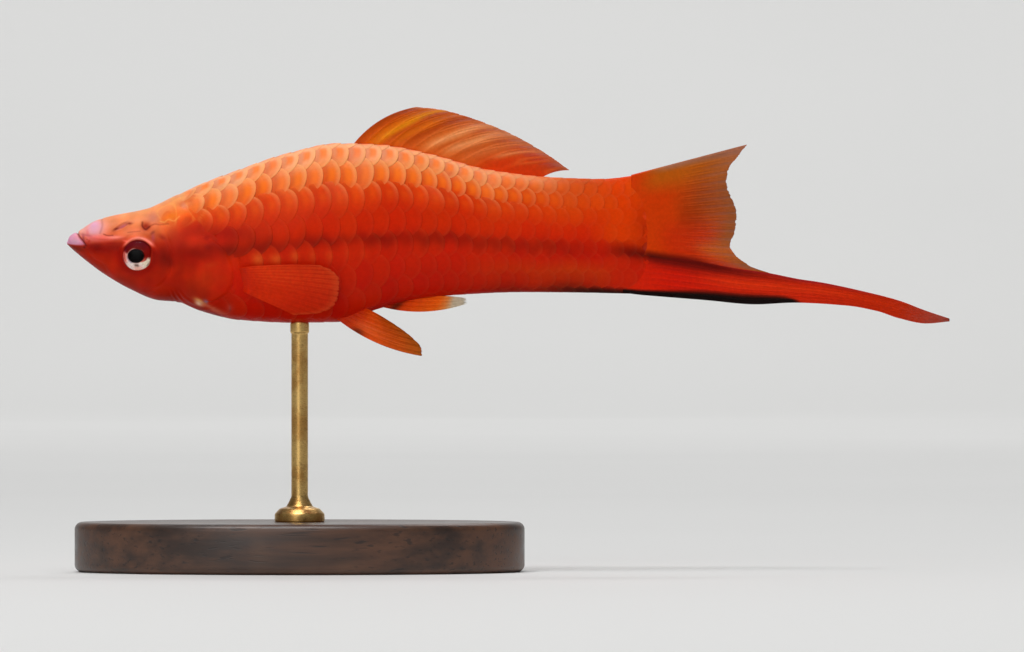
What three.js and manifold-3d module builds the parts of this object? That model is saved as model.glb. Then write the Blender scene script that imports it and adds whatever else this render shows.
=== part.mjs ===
// A male swordtail (Xiphophorus hellerii) as a life-size still model on a display stand.
// Millimetres, +Z up, +X from head to tail. The fish's left side faces -Y.
// Places on the fish are given as s, the distance behind the snout tip, and h, the height
// above the level of the snout tip.
import * as THREE from 'three';
import { mergeVertices } from 'three/addons/utils/BufferGeometryUtils.js';
import Module from 'manifold-3d';

const wasm = await Module();
wasm.setup();
const { lerp } = THREE.MathUtils;

// Driving dimensions
const TOTAL_LENGTH = 106; // snout tip to sword tip
const BODY_LENGTH = 68.6; // snout tip to the end of the tail stalk
const SNOUT_HEIGHT = 39.7; // snout tip above the floor
const GAP = 0.3; // between neighbouring pieces
const LEFT = -1; // the side that faces -Y
const RIGHT = 1;

// The tail sweeps gently to the fish's right, from here to the sword tip.
const SWEEP_START = 36;
const SWEEP_AT_TIP = 5;

// Outlines of the body, as [s, value] pairs
const BACK = [
  [0, -0.05], [0.3, 0.6], [1.2, 1.05], [2.3, 1.85], [4.4, 2.8], [9.7, 3.95], [11.9, 4.95],
  [15.8, 6.8], [20.6, 8.65], [26.4, 10.6], [32.5, 11.78], [37.5, 11.6], [43, 10.6],
  [50.5, 8.6], [58, 7.7], [64, 7.5], [68.6, 8.1],
];
const BELLY = [
  [0, -0.5], [0.6, -1.05], [2.3, -2.46], [4.4, -4], [7.6, -5.84], [10.8, -7.1], [13, -7.3],
  [16.5, -8.6], [20.6, -9.5], [27, -9.83], [32.2, -9.75], [36.5, -8.4], [40.5, -7.25],
  [44.5, -6.65], [55, -6.15], [62.8, -6.22], [68.6, -6.45],
];
const HALF_WIDTH = [
  [0, 0.45], [0.3, 1.05], [1.2, 1.75], [2.3, 2.25], [4.4, 2.95], [8.5, 3.75], [13, 4.6],
  [20.6, 5.3], [27, 5.5], [33, 5.25], [40, 4.35], [50.5, 2.95], [60, 1.95], [68.6, 0.6],
];
// Height of the widest line, as a share of the depth
const WAIST = [[0, 0.5], [8.5, 0.54], [15, 0.5], [28, 0.5], [68.6, 0.5]];
// Fullness of the section above and below that line, where 2 is an ellipse
const FULL_ABOVE = [[0, 2.2], [6, 2.7], [11, 2.6], [18, 2.2], [68.6, 2]];
const FULL_BELOW = [[0, 2], [8, 1.9], [16, 2.05], [30, 2.2], [45, 2], [68.6, 2]];

// Sections of the body are closer together on the head.
const HEAD_END = 16.5;
const TORSO_END = 44;
const HEAD_STEP = 0.92;
const BODY_STEP = 2;
const RING_POINTS = 32;

// Eye and nostrils
const EYE_S = 8.46;
const EYE_H = -1.74;
const EYE_RADIUS = 1.83;
const EYE_FRONT = 0.62; // from the eye's rim plane out to the cornea
const EYE_REAR = 1.4; // from the rim plane in to the back of the ball
const EYE_SINK = 0.12; // the rim plane's depth under the skin
const EYE_TURN = 0.15; // the eyes look this much forwards, in radians
const RIM_TUBE = 0.3;
const NOSTRILS = [[4.9, 0.85], [6.3, 0.95]];
const NOSTRIL_RADIUS = 0.28;

// Lines of the cuts between head pieces, as [s, h] pairs
const MOUTH_LINE = [
  [0.8, 1.9], [1.32, 0.77], [1.95, -0.2], [2.25, -1.1], [3.1, -2.1], [4.4, -3], [5.1, -5.4],
];
const UPPER_LIP_LINE = [[4.5, 4], [4.2, 1.4], [3.5, 0.3], [2.8, -0.55], [2.25, -1.1]];
const LOWER_LIP_LINE = [[-0.6, -0.7], [0.8, -0.95], [1.6, -1], [2.2, -0.95]];
const LIP_ROLL = 0.4; // radius of the roll of flesh round the mouth
const NECK_LINE = [[14.6, 8.5], [15.6, 2], [16, -3], [15.4, -10]];

// Groove between the cheek and the gill cover
const CHEEK_LINE = [[11.7, 1.2], [12.6, -1.2], [12.4, -3.6], [11.3, -5.2], [9.5, -6]];
const GROOVE_WIDTH = 0.34;
const GROOVE_DEPTH = 0.22;

// Gill cover, as the corners of a smooth outline
const GILL_OUTLINE = [
  [16.2, 0.5], [18.9, -1.1], [19.95, -4], [18.9, -6.5], [16.4, -7.4], [14.2, -6.4],
  [13.4, -3.9], [14, -1.1],
];
const GILL_POINTS = 28;
const GILL_RAISED = 0.18;
const GILL_THICKNESS = 0.95;

// Fins
const MEMBRANE = 0.5; // thickness of a fin between its rays
const RAY_RELIEF = 0.12; // how far a ray stands out on each side
const EDGE_THINNING = 0.2; // share of the thickness lost by the free edge
const RAY_FOOT = 0.24; // half width of a ray's ridge, as a share of the ray spacing
const NOTCH = 0.022; // how far the free edge falls back between rays, as a share of their length
const ROOT_DEPTH = 0.9; // how deep a fin is set before the body is cleared from it

// Stand
const BASE_LENGTH = 54;
const BASE_WIDTH = 34;
const BASE_HEIGHT = 6;
const BASE_BEVEL = 0.9;
const ROD_S = 27.8;
const ROD_RADIUS = 1;
const FOOT_RADIUS = 3;
const FOOT_HEIGHT = 1.6;

const MATERIALS = {
  skin: new THREE.MeshStandardMaterial({ color: '#d8380f', roughness: 0.38, metalness: 0 }),
  lip: new THREE.MeshStandardMaterial({ color: '#d99aa0', roughness: 0.4, metalness: 0 }),
  fin: new THREE.MeshStandardMaterial({ color: '#d65a1c', roughness: 0.45, metalness: 0 }),
  sword: new THREE.MeshStandardMaterial({ color: '#c22a10', roughness: 0.42, metalness: 0 }),
  eye: new THREE.MeshStandardMaterial({ color: '#15100f', roughness: 0.08, metalness: 0 }),
  wood: new THREE.MeshStandardMaterial({ color: '#2c2019', roughness: 0.45, metalness: 0 }),
  brass: new THREE.MeshStandardMaterial({ color: '#b89656', roughness: 0.28, metalness: 1 }),
};

// Smooth curve through [place, value] pairs that never overshoots them
function profile(points) {
  const last = points.length - 1;
  const rise = (i) => (points[i + 1][1] - points[i][1]) / (points[i + 1][0] - points[i][0]);
  const slope = points.map((_, i) => {
    if (i === 0) return rise(0);
    if (i === last) return rise(last - 1);
    const before = rise(i - 1);
    const after = rise(i);
    return before * after <= 0 ? 0 : (2 * before * after) / (before + after);
  });
  return (place) => {
    if (place <= points[0][0]) return points[0][1];
    if (place >= points[last][0]) return points[last][1];
    const i = points.findIndex((p) => p[0] > place) - 1;
    const span = points[i + 1][0] - points[i][0];
    const t = (place - points[i][0]) / span;
    const a = (1 + 2 * t) * (1 - t) ** 2 * points[i][1];
    const b = t * (1 - t) ** 2 * span * slope[i];
    const c = t * t * (3 - 2 * t) * points[i + 1][1];
    const d = t * t * (t - 1) * span * slope[i + 1];
    return a + b + c + d;
  };
}

const back = profile(BACK);
const belly = profile(BELLY);
const halfWidth = profile(HALF_WIDTH);
const waist = profile(WAIST);
const fullAbove = profile(FULL_ABOVE);
const fullBelow = profile(FULL_BELOW);

const widest = (s) => belly(s) + (back(s) - belly(s)) * waist(s);
const place = (s, y, h) => new THREE.Vector3(s - TOTAL_LENGTH / 2, y, SNOUT_HEIGHT + h);

// A point on the skin grown by an offset. Angle 0 is the back, and it turns towards +Y.
function skinPoint(s, angle, offset) {
  const cos = Math.cos(angle);
  const sin = Math.sin(angle);
  const power = 2 / (cos > 0 ? fullAbove(s) : fullBelow(s));
  const tall = (cos > 0 ? back(s) - widest(s) : widest(s) - belly(s)) + offset;
  const wide = halfWidth(s) + offset;
  const y = Math.sign(sin) * wide * Math.abs(sin) ** power;
  const h = widest(s) + Math.sign(cos) * tall * Math.abs(cos) ** power;
  return [y, h];
}

// Half the body's width at a height
function sideOfBody(s, h) {
  const above = h > widest(s);
  const power = above ? fullAbove(s) : fullBelow(s);
  const tall = above ? back(s) - widest(s) : widest(s) - belly(s);
  const share = Math.min(1, Math.abs(h - widest(s)) / tall);
  return halfWidth(s) * (1 - share ** power) ** (1 / power);
}

// Vertices and triangles as a geometry
function surface(vertices, triangles) {
  const geometry = new THREE.BufferGeometry().setFromPoints(vertices);
  geometry.setIndex(triangles);
  return geometry;
}

// Closed skin through rings of points, with a fan over each end
function loft(rings) {
  const count = rings[0].length;
  const vertices = rings.flat();
  const triangles = [];
  for (let r = 0; r + 1 < rings.length; r++) {
    for (let i = 0; i < count; i++) {
      const a = r * count + i;
      const b = r * count + ((i + 1) % count);
      triangles.push(a, b, a + count, b, b + count, a + count);
    }
  }
  for (const end of [0, rings.length - 1]) {
    const centre = new THREE.Vector3();
    rings[end].forEach((p) => centre.addScaledVector(p, 1 / count));
    vertices.push(centre);
    for (let i = 0; i < count; i++) {
      const a = end * count + i;
      const b = end * count + ((i + 1) % count);
      triangles.push(...(end === 0 ? [b, a] : [a, b]), vertices.length - 1);
    }
  }
  return surface(vertices, triangles);
}

// A geometry as a solid, turned to face outwards
function solid(geometry) {
  const bare = new THREE.BufferGeometry().setAttribute('position', geometry.getAttribute('position'));
  bare.setIndex(geometry.index);
  const merged = mergeVertices(bare, 1e-4);
  const triangles = [];
  for (let i = 0; i < merged.index.count; i += 3) {
    const [a, b, c] = [0, 1, 2].map((k) => merged.index.getX(i + k));
    if (a !== b && b !== c && a !== c) triangles.push(a, b, c);
  }
  const build = (list) => new wasm.Manifold(new wasm.Mesh({
    numProp: 3,
    vertProperties: merged.attributes.position.array,
    triVerts: new Uint32Array(list),
  }));
  const made = build(triangles);
  return made.volume() < 0 ? build(triangles.reverse()) : made;
}

// The largest closed piece of a solid
function largest(made) {
  return made.decompose().sort((a, b) => b.volume() - a.volume())[0];
}

// A solid as a geometry
function geometryOf(made) {
  const mesh = made.getMesh();
  const vertices = [];
  for (let i = 0; i < mesh.numVert; i++) {
    const first = i * mesh.numProp;
    vertices.push(new THREE.Vector3(...mesh.vertProperties.subarray(first, first + 3)));
  }
  return surface(vertices, [...mesh.triVerts]);
}

// Outline in s and h, drawn through [s, h] pairs, carried across the fish between two y values
function prism(outline, from, to) {
  const shape = new THREE.Shape(outline.map(([s, h]) => new THREE.Vector2(s, h)));
  const geometry = new THREE.ExtrudeGeometry(shape, { depth: to - from, bevelEnabled: false });
  geometry.rotateX(Math.PI / 2).translate(0, to, 0);
  const origin = place(0, 0, 0);
  return solid(geometry.translate(origin.x, origin.y, origin.z));
}

// Both sides of a line, moved out by half a thickness
function strip(line, thickness) {
  const sides = [1, -1].map((way) => line.map(([s, h], i) => {
    const [s0, h0] = line[Math.max(0, i - 1)];
    const [s1, h1] = line[Math.min(line.length - 1, i + 1)];
    const length = Math.hypot(s1 - s0, h1 - h0);
    const out = (way * thickness) / 2 / length;
    return [s - (h1 - h0) * out, h + (s1 - s0) * out];
  }));
  return [...sides[0], ...sides[1].reverse()];
}

// A thin cut across the whole body along a line
const cut = (line) => prism(strip(line, GAP), -12, 12);

// A smooth closed outline through corners, grown by an amount
function smoothOutline(corners, grow) {
  const curve = new THREE.CatmullRomCurve3(corners.map(([s, h]) => new THREE.Vector3(s, h, 0)), true);
  return curve.getSpacedPoints(GILL_POINTS).slice(0, -1).map((p, i) => {
    const way = curve.getTangentAt(i / GILL_POINTS);
    return [p.x + way.y * -grow, p.y + way.x * grow];
  });
}

// The body's skin from the snout to the end of the tail stalk, grown by an offset
function bodySolid(offset) {
  const places = [0, 0.12, 0.3, 0.6];
  while (places.at(-1) < BODY_LENGTH - BODY_STEP / 2) {
    const s = places.at(-1);
    places.push(s + (s < HEAD_END ? HEAD_STEP : BODY_STEP));
  }
  places[places.length - 1] = BODY_LENGTH;
  const rings = places.map((s) => Array.from({ length: RING_POINTS }, (_, i) => {
    const [y, h] = skinPoint(s, (i / RING_POINTS) * 2 * Math.PI, offset);
    const along = s === 0 ? s - offset : s;
    return place(along, y, h);
  }));
  return solid(loft(rings));
}

// Turns a shape made round the Y axis, facing -Y, to look out of the skin at the eye
function setInEye(geometry, side, sink) {
  if (side === RIGHT) geometry.rotateZ(Math.PI);
  geometry.rotateZ(side * EYE_TURN);
  const at = place(EYE_S, side * (sideOfBody(EYE_S, EYE_H) - sink), EYE_H);
  return solid(geometry.translate(at.x, at.y, at.z));
}

// An eyeball, flatter in front than behind, grown by an amount
function eyeSolid(side, grow) {
  const steps = 10;
  const outline = Array.from({ length: steps + 1 }, (_, i) => {
    const angle = (i / steps) * Math.PI;
    const deep = Math.cos(angle) > 0 ? EYE_FRONT : EYE_REAR;
    return new THREE.Vector2((EYE_RADIUS + grow) * Math.sin(angle), -(deep + grow) * Math.cos(angle));
  });
  outline[0].x = 0;
  outline[steps].x = 0;
  return setInEye(new THREE.LatheGeometry(outline, 22), side, EYE_SINK);
}

// The raised ring round the eye
function eyeRim(side) {
  const ring = new THREE.TorusGeometry(EYE_RADIUS + GAP + RIM_TUBE * 0.4, RIM_TUBE, 8, 24);
  return setInEye(ring.rotateX(Math.PI / 2), side, RIM_TUBE * 0.55);
}

function nostril([s, h], side) {
  const at = place(s, side * sideOfBody(s, h), h);
  const ball = new THREE.SphereGeometry(NOSTRIL_RADIUS, 10, 7).scale(1, 1.4, 1);
  return solid(ball.translate(at.x, at.y, at.z));
}

// A rounded roll of flesh along the mouth, from one corner over the front to the other
function lipRoll() {
  const side = MOUTH_LINE.slice(1, 4).map(([s, h]) => [s, sideOfBody(s, h) - LIP_ROLL * 0.45, h]);
  const points = [
    ...side.toReversed().map(([s, y, h]) => place(s, LEFT * y, h)),
    place(1.18, 0, 0.6),
    ...side.map(([s, y, h]) => place(s, RIGHT * y, h)),
  ];
  const round = new THREE.Shape().absarc(0, 0, LIP_ROLL, 0, 2 * Math.PI);
  const extrudePath = new THREE.CatmullRomCurve3(points);
  return solid(new THREE.ExtrudeGeometry(round, { steps: 14, curveSegments: 4, extrudePath }));
}

const halfOfSpace = (side) => (side === LEFT ? [-12, -0.5] : [0.5, 12]);

function cheekGroove(side) {
  const [from, to] = halfOfSpace(side);
  return prism(strip(CHEEK_LINE, GROOVE_WIDTH), from, to).subtract(bodySolid(-GROOVE_DEPTH));
}

// The gill cover's plate, and the recess that it lies in
function gillCover(side) {
  const [from, to] = halfOfSpace(side);
  const plate = prism(smoothOutline(GILL_OUTLINE, 0), from, to)
    .intersect(bodySolid(GILL_RAISED))
    .subtract(bodySolid(GILL_RAISED - GILL_THICKNESS));
  const recess = prism(smoothOutline(GILL_OUTLINE, GAP), from, to)
    .subtract(bodySolid(GILL_RAISED - GILL_THICKNESS - GAP));
  return { plate: largest(plate), recess };
}

// A fin as a sheet of rays. centre(u, v) gives [s, y, h] from root (u 0) to free edge (u 1),
// and v runs over the rays. Both faces are split alike.
function fin({ rays, rows, centre, thickness = MEMBRANE, relief = RAY_RELIEF }) {
  const columns = [];
  for (let i = 0; i < rays; i++) {
    for (const step of [-RAY_FOOT, 0, RAY_FOOT]) {
      const v = (i + step) / (rays - 1);
      if (v >= 0 && v <= 1) columns.push({ v, crest: step === 0 ? 1 : 0 });
    }
  }
  const vertices = [];
  for (const side of [LEFT, RIGHT]) {
    for (let r = 0; r <= rows; r++) {
      for (const { v, crest } of columns) {
        const u = (r / rows) * (crest ? 1 : 1 - NOTCH);
        const [s, y, h] = centre(u, v);
        const half = (thickness / 2 + relief * crest) * (1 - EDGE_THINNING * u * u);
        vertices.push(place(s, y + side * half, h));
      }
    }
  }
  const wide = columns.length;
  const other = wide * (rows + 1);
  const triangles = [];
  const quad = (a, b, c, d) => triangles.push(a, b, c, a, c, d);
  for (let r = 0; r < rows; r++) {
    for (let c = 0; c + 1 < wide; c++) {
      const a = r * wide + c;
      quad(a, a + 1, a + wide + 1, a + wide);
      triangles.push(other + a, other + a + wide + 1, other + a + 1);
      triangles.push(other + a, other + a + wide, other + a + wide + 1);
    }
    for (const c of [0, wide - 1]) {
      const a = r * wide + c;
      if (c === 0) quad(a, a + wide, other + a + wide, other + a);
      else quad(a, other + a, other + a + wide, a + wide);
    }
  }
  for (let c = 0; c + 1 < wide; c++) {
    quad(c, other + c, other + c + 1, c + 1);
    const a = rows * wide + c;
    quad(a, a + 1, other + a + 1, other + a);
  }
  return solid(surface(vertices, triangles));
}

// A fan of rays from a root line to an edge line. The first and last rays are bowed by the
// given shares of their length.
function fan(root, edge, firstBow, lastBow) {
  const edgeS = profile(edge.map(([v, s]) => [v, s]));
  const edgeH = profile(edge.map(([v, , h]) => [v, h]));
  return (u, v) => {
    const [s0, h0] = root(v);
    const [s1, h1] = [edgeS(v), edgeH(v)];
    const lift = 4 * u * (1 - u) * lerp(firstBow, lastBow, v);
    return [s0 + (s1 - s0) * u - (h1 - h0) * lift, h0 + (h1 - h0) * u + (s1 - s0) * lift];
  };
}

// Free edges, as [v, s, h] from the first ray to the last
const DORSAL_EDGE = [
  [0, 41.8, 16.1], [0.12, 44.4, 15.85], [0.28, 47.1, 15.2], [0.57, 52.5, 13.2],
  [0.86, 57.2, 10.6], [1, 59.8, 8.9],
];
const CAUDAL_EDGE = [
  [0, 81.6, 11.65], [0.07, 80.4, 10.1], [0.15, 79.4, 8.8], [0.25, 79.1, 7.2], [0.55, 80.3, 3.2],
  [0.68, 80.2, 1.2], [0.8, 79.6, -0.5], [0.9, 80.4, -1.8], [1, 81.8, -3],
];
const PECTORAL_EDGE = [
  [0, 30.5, -3], [0.15, 32.1, -3.85], [0.35, 32.9, -5.1], [0.55, 32.4, -6.7], [0.8, 29.7, -8.1],
  [1, 26.4, -8.3],
];
const PELVIC_EDGE = [
  [0, 42.3, -13.65], [0.2, 42.1, -12.9], [0.5, 40.8, -11.6], [0.8, 38.6, -10.1], [1, 37.3, -9.2],
];
const ANAL_EDGE = [[0, 47.9, -7.5], [1, 47.8, -6.85]];
const SWORD_TOP = [
  [68.6, -1.5], [73.4, -2.3], [80.4, -3.4], [84, -3.8], [87.8, -4.55], [90.5, -4.95], [95.5, -6],
  [99.8, -7.1], [103, -8.3], [106, -9.3],
];
const SWORD_BOTTOM = [
  [68.6, -6.45], [71.6, -6.7], [76.6, -7.1], [82.6, -7.6], [87.2, -7.4], [93.6, -7.75],
  [97.4, -8.45], [99.8, -9.25], [103.2, -9.9], [106, -9.65],
];
const FIN_ROOT_S = BODY_LENGTH + GAP;

function dorsalFin() {
  const root = (v) => {
    const s = lerp(34.6, 54.2, v);
    return [s, back(s) - ROOT_DEPTH];
  };
  const ray = fan(root, DORSAL_EDGE, 0.13, 0);
  return fin({
    rays: 13,
    rows: 6,
    centre: (u, v) => {
      const [s, h] = ray(u, v);
      return [s, 0, h];
    },
  });
}

function caudalFin() {
  const ray = fan((v) => [FIN_ROOT_S, lerp(8.2, -1.15, v)], CAUDAL_EDGE, 0, -0.01);
  return fin({
    rays: 15,
    rows: 5,
    thickness: 0.6,
    centre: (u, v) => {
      const [s, h] = ray(u, v);
      return [s, 0, h];
    },
  });
}

function swordBlade() {
  const top = profile(SWORD_TOP);
  const bottom = profile(SWORD_BOTTOM);
  return fin({
    rays: 5,
    rows: 16,
    thickness: 0.75,
    centre: (u, v) => {
      const s = lerp(FIN_ROOT_S, TOTAL_LENGTH, u);
      return [s, 0, lerp(top(s), bottom(s), v)];
    },
  });
}

function analFin() {
  const root = (v) => {
    const s = lerp(36.4, 39.2, v);
    return [s, belly(s) + ROOT_DEPTH];
  };
  const ray = fan(root, ANAL_EDGE, -0.09, -0.05);
  return fin({
    rays: 4,
    rows: 7,
    thickness: 0.7,
    centre: (u, v) => {
      const [s, h] = ray(u, v);
      return [s, 0, h];
    },
  });
}

function pelvicFin(side) {
  const root = (v) => {
    const s = lerp(31.7, 35.4, v);
    return [s, belly(s) + ROOT_DEPTH];
  };
  const ray = fan(root, PELVIC_EDGE, -0.11, 0.02);
  return fin({
    rays: 6,
    rows: 6,
    centre: (u, v) => {
      const [s, h] = ray(u, v);
      return [s, side * (1.3 + 2.3 * u), h];
    },
  });
}

// The fin lies back along the body and stands off it towards its edge.
function pectoralFin(side) {
  const ray = fan((v) => [lerp(20.2, 20.9, v), lerp(-3.3, -6, v)], PECTORAL_EDGE, 0.02, 0);
  return fin({
    rays: 12,
    rows: 6,
    centre: (u, v) => {
      const [s, h] = ray(u, v);
      const clear = MEMBRANE / 2 + RAY_RELIEF + GAP + 0.15;
      const out = u === 0 ? -ROOT_DEPTH / 2 : clear + 1.3 * u ** 1.4;
      return [s, side * (sideOfBody(s, h) + out), h];
    },
  });
}

function standBase() {
  const oval = new THREE.Shape();
  const [long, wide] = [BASE_LENGTH / 2 - BASE_BEVEL, BASE_WIDTH / 2 - BASE_BEVEL];
  oval.absellipse(0, 0, long, wide, 0, 2 * Math.PI);
  const geometry = new THREE.ExtrudeGeometry(oval, {
    depth: BASE_HEIGHT - 2 * BASE_BEVEL,
    bevelSize: BASE_BEVEL,
    bevelThickness: BASE_BEVEL,
    bevelSegments: 3,
    curveSegments: 24,
  });
  return solid(geometry.translate(ROD_S - TOTAL_LENGTH / 2, 0, BASE_BEVEL));
}

// One turned piece: a round foot and a thin rod whose top follows the belly
function standRod(bodyClear) {
  const top = SNOUT_HEIGHT + belly(ROD_S) + 0.5;
  const outline = [
    [0, BASE_HEIGHT], [FOOT_RADIUS, BASE_HEIGHT], [FOOT_RADIUS, BASE_HEIGHT + FOOT_HEIGHT * 0.6],
    [FOOT_RADIUS * 0.8, BASE_HEIGHT + FOOT_HEIGHT], [ROD_RADIUS * 1.6, BASE_HEIGHT + FOOT_HEIGHT * 1.15],
    [ROD_RADIUS, BASE_HEIGHT + FOOT_HEIGHT * 1.9], [ROD_RADIUS, top], [0, top],
  ];
  const geometry = new THREE.LatheGeometry(outline.map(([r, z]) => new THREE.Vector2(r, z)), 24);
  const turned = solid(geometry.rotateX(Math.PI / 2).translate(ROD_S - TOTAL_LENGTH / 2, 0, 0));
  return largest(turned.subtract(bodyClear));
}

// Shifts a fish piece sideways along the tail's sweep
function swept(geometry) {
  const position = geometry.getAttribute('position');
  const reach = TOTAL_LENGTH - SWEEP_START;
  for (let i = 0; i < position.count; i++) {
    const behind = Math.max(0, position.getX(i) + TOTAL_LENGTH / 2 - SWEEP_START);
    position.setY(i, position.getY(i) + SWEEP_AT_TIP * (behind / reach) ** 2);
  }
  return geometry;
}

// The body with its openings, parted by thin cuts
function bodyPieces(gills) {
  let body = bodySolid(0).add(lipRoll());
  for (const side of [LEFT, RIGHT]) {
    body = body.add(eyeRim(side)).subtract(eyeSolid(side, GAP)).subtract(gills[side].recess);
    body = body.subtract(cheekGroove(side));
    for (const hole of NOSTRILS) body = body.subtract(nostril(hole, side));
  }
  const tailLine = [[TORSO_END, 14], [TORSO_END, -12]];
  const lines = [MOUTH_LINE, UPPER_LIP_LINE, LOWER_LIP_LINE, NECK_LINE, tailLine];
  for (const line of lines) body = body.subtract(cut(line));
  return body.decompose().filter((piece) => piece.volume() > 0.05);
}

// The piece whose middle is nearest to a place on the middle plane
function pieceNear(pieces, s, h) {
  const wanted = place(s, 0, h);
  const distance = (piece) => {
    const { min, max } = piece.boundingBox();
    return wanted.distanceTo(new THREE.Vector3(...min).add(new THREE.Vector3(...max)).multiplyScalar(0.5));
  };
  return [...pieces].sort((a, b) => distance(a) - distance(b))[0];
}

const model = new THREE.Group();

function addMesh(name, made, material, onFish = true) {
  const geometry = geometryOf(made);
  const mesh = new THREE.Mesh(onFish ? swept(geometry) : geometry, MATERIALS[material]);
  mesh.geometry.computeVertexNormals();
  mesh.name = name;
  model.add(mesh);
}

const bodyClear = bodySolid(GAP);
const gills = { [LEFT]: gillCover(LEFT), [RIGHT]: gillCover(RIGHT) };
const pieces = bodyPieces(gills);

addMesh('upper_lip', pieceNear(pieces, 2.7, 1), 'lip');
addMesh('lower_lip', pieceNear(pieces, 1, -0.2), 'lip');
addMesh('lower_jaw', pieceNear(pieces, 2.8, -2.7), 'skin');
addMesh('head', pieceNear(pieces, 9, 0), 'skin');
addMesh('torso', pieceNear(pieces, 30, 1), 'skin');
addMesh('tail_stalk', pieceNear(pieces, 56, 1), 'skin');
addMesh('dorsal_fin', largest(dorsalFin().subtract(bodyClear)), 'fin');
addMesh('caudal_fin', caudalFin(), 'fin');
addMesh('sword', swordBlade(), 'sword');
addMesh('anal_fin', largest(analFin().subtract(bodyClear)), 'fin');
for (const [side, word] of [[LEFT, 'left'], [RIGHT, 'right']]) {
  addMesh(`eye_${word}`, eyeSolid(side, 0), 'eye');
  addMesh(`gill_cover_${word}`, gills[side].plate, 'skin');
  addMesh(`pectoral_fin_${word}`, largest(pectoralFin(side).subtract(bodyClear)), 'fin');
  addMesh(`pelvic_fin_${word}`, largest(pelvicFin(side).subtract(bodyClear)), 'fin');
}
addMesh('stand_base', standBase(), 'wood', false);
addMesh('stand_rod', standRod(bodyClear), 'brass', false);

export default model;
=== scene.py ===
"""The male swordtail on its stand, dressed for the render.

Lengths are millimetres until frame_points turns them into metres. Places on the fish are
given as s, the distance behind the snout tip, h, the height above the snout tip, and y,
the distance from the middle plane. The fish's left side faces -Y and the camera.
"""

import math
from types import SimpleNamespace

import bpy
import numpy as np
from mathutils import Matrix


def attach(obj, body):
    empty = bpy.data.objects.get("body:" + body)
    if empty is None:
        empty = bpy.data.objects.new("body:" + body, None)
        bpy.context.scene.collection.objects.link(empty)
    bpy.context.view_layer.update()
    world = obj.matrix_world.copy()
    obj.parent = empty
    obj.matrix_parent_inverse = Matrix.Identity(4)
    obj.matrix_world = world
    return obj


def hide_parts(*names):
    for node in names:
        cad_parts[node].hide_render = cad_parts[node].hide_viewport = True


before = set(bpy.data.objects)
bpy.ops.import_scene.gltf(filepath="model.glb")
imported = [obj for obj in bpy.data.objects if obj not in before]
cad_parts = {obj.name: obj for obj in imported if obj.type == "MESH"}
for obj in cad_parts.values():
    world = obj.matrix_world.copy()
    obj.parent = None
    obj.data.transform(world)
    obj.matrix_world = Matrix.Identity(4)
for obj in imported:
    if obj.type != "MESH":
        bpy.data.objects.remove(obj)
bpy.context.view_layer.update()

# Driving dimensions, the same as in the part's source
TOTAL_LENGTH = 106
SNOUT_HEIGHT = 39.7
SWEEP_START = 36
SWEEP_AT_TIP = 5

# Signs of y on the fish's two sides
LEFT = -1
RIGHT = 1
SIDES = ((LEFT, "left"), (RIGHT, "right"))

# Outlines of the body. The last pair of each carries the skin on over the root of the tail fin.
BACK = [
    (0, -0.05), (0.3, 0.6), (1.2, 1.05), (2.3, 1.85), (4.4, 2.8), (9.7, 3.95), (11.9, 4.95),
    (15.8, 6.8), (20.6, 8.65), (26.4, 10.6), (32.5, 11.78), (37.5, 11.6), (43, 10.6),
    (50.5, 8.6), (58, 7.7), (64, 7.5), (68.6, 8.1), (72.6, 9.1),
]
BELLY = [
    (0, -0.5), (0.6, -1.05), (2.3, -2.46), (4.4, -4), (7.6, -5.84), (10.8, -7.1), (13, -7.3),
    (16.5, -8.6), (20.6, -9.5), (27, -9.83), (32.2, -9.75), (36.5, -8.4), (40.5, -7.25),
    (44.5, -6.65), (55, -6.15), (62.8, -6.22), (68.6, -6.45), (72.6, -6.72),
]
HALF_WIDTH = [
    (0, 0.45), (0.3, 1.05), (1.2, 1.75), (2.3, 2.25), (4.4, 2.95), (8.5, 3.75), (13, 4.6),
    (20.6, 5.3), (27, 5.5), (33, 5.25), (40, 4.35), (50.5, 2.95), (60, 1.95), (68.6, 0.6),
    (71, 0.22), (72.6, 0.03),
]
WAIST = [(0, 0.5), (8.5, 0.54), (15, 0.5), (28, 0.5), (72.6, 0.5)]
FULL_ABOVE = [(0, 2.2), (6, 2.7), (11, 2.6), (18, 2.2), (68.6, 2), (72.6, 2)]
FULL_BELOW = [(0, 2), (8, 1.9), (16, 2.05), (30, 2.2), (45, 2), (72.6, 2)]
SKIN_END = 72.6

# Picture
FRAME_WIDTH = 122.88
FRAME_CENTRE = (0.28, 29.5)
CAMERA_DISTANCE = 1200
FLOOR_FRONT = 3.4  # metres, as are the others of the floor
FLOOR_BACK = 2.1
FLOOR_HALF = 3.2
WALL_TOP = 2.4

# Eye
EYE_S = 8.46
EYE_H = -1.74
EYE_RADIUS = 1.83
EYE_FRONT = 0.62
EYE_REAR = 1.4
EYE_SINK = 0.12
EYE_TURN = 0.15
EYE_RIM = 2.1  # radius of the skin's lit rim
PUPIL_RADIUS = 0.99
PUPIL_TALL = 0.84
PUPIL_FORWARD = 0.11
LID_LOW = 1.78
LID_HIGH = 1.76
LID_NARROW = 0.2  # in front of the eye and behind it
LID_FORWARD = 0.18  # over the front of the eye

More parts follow.
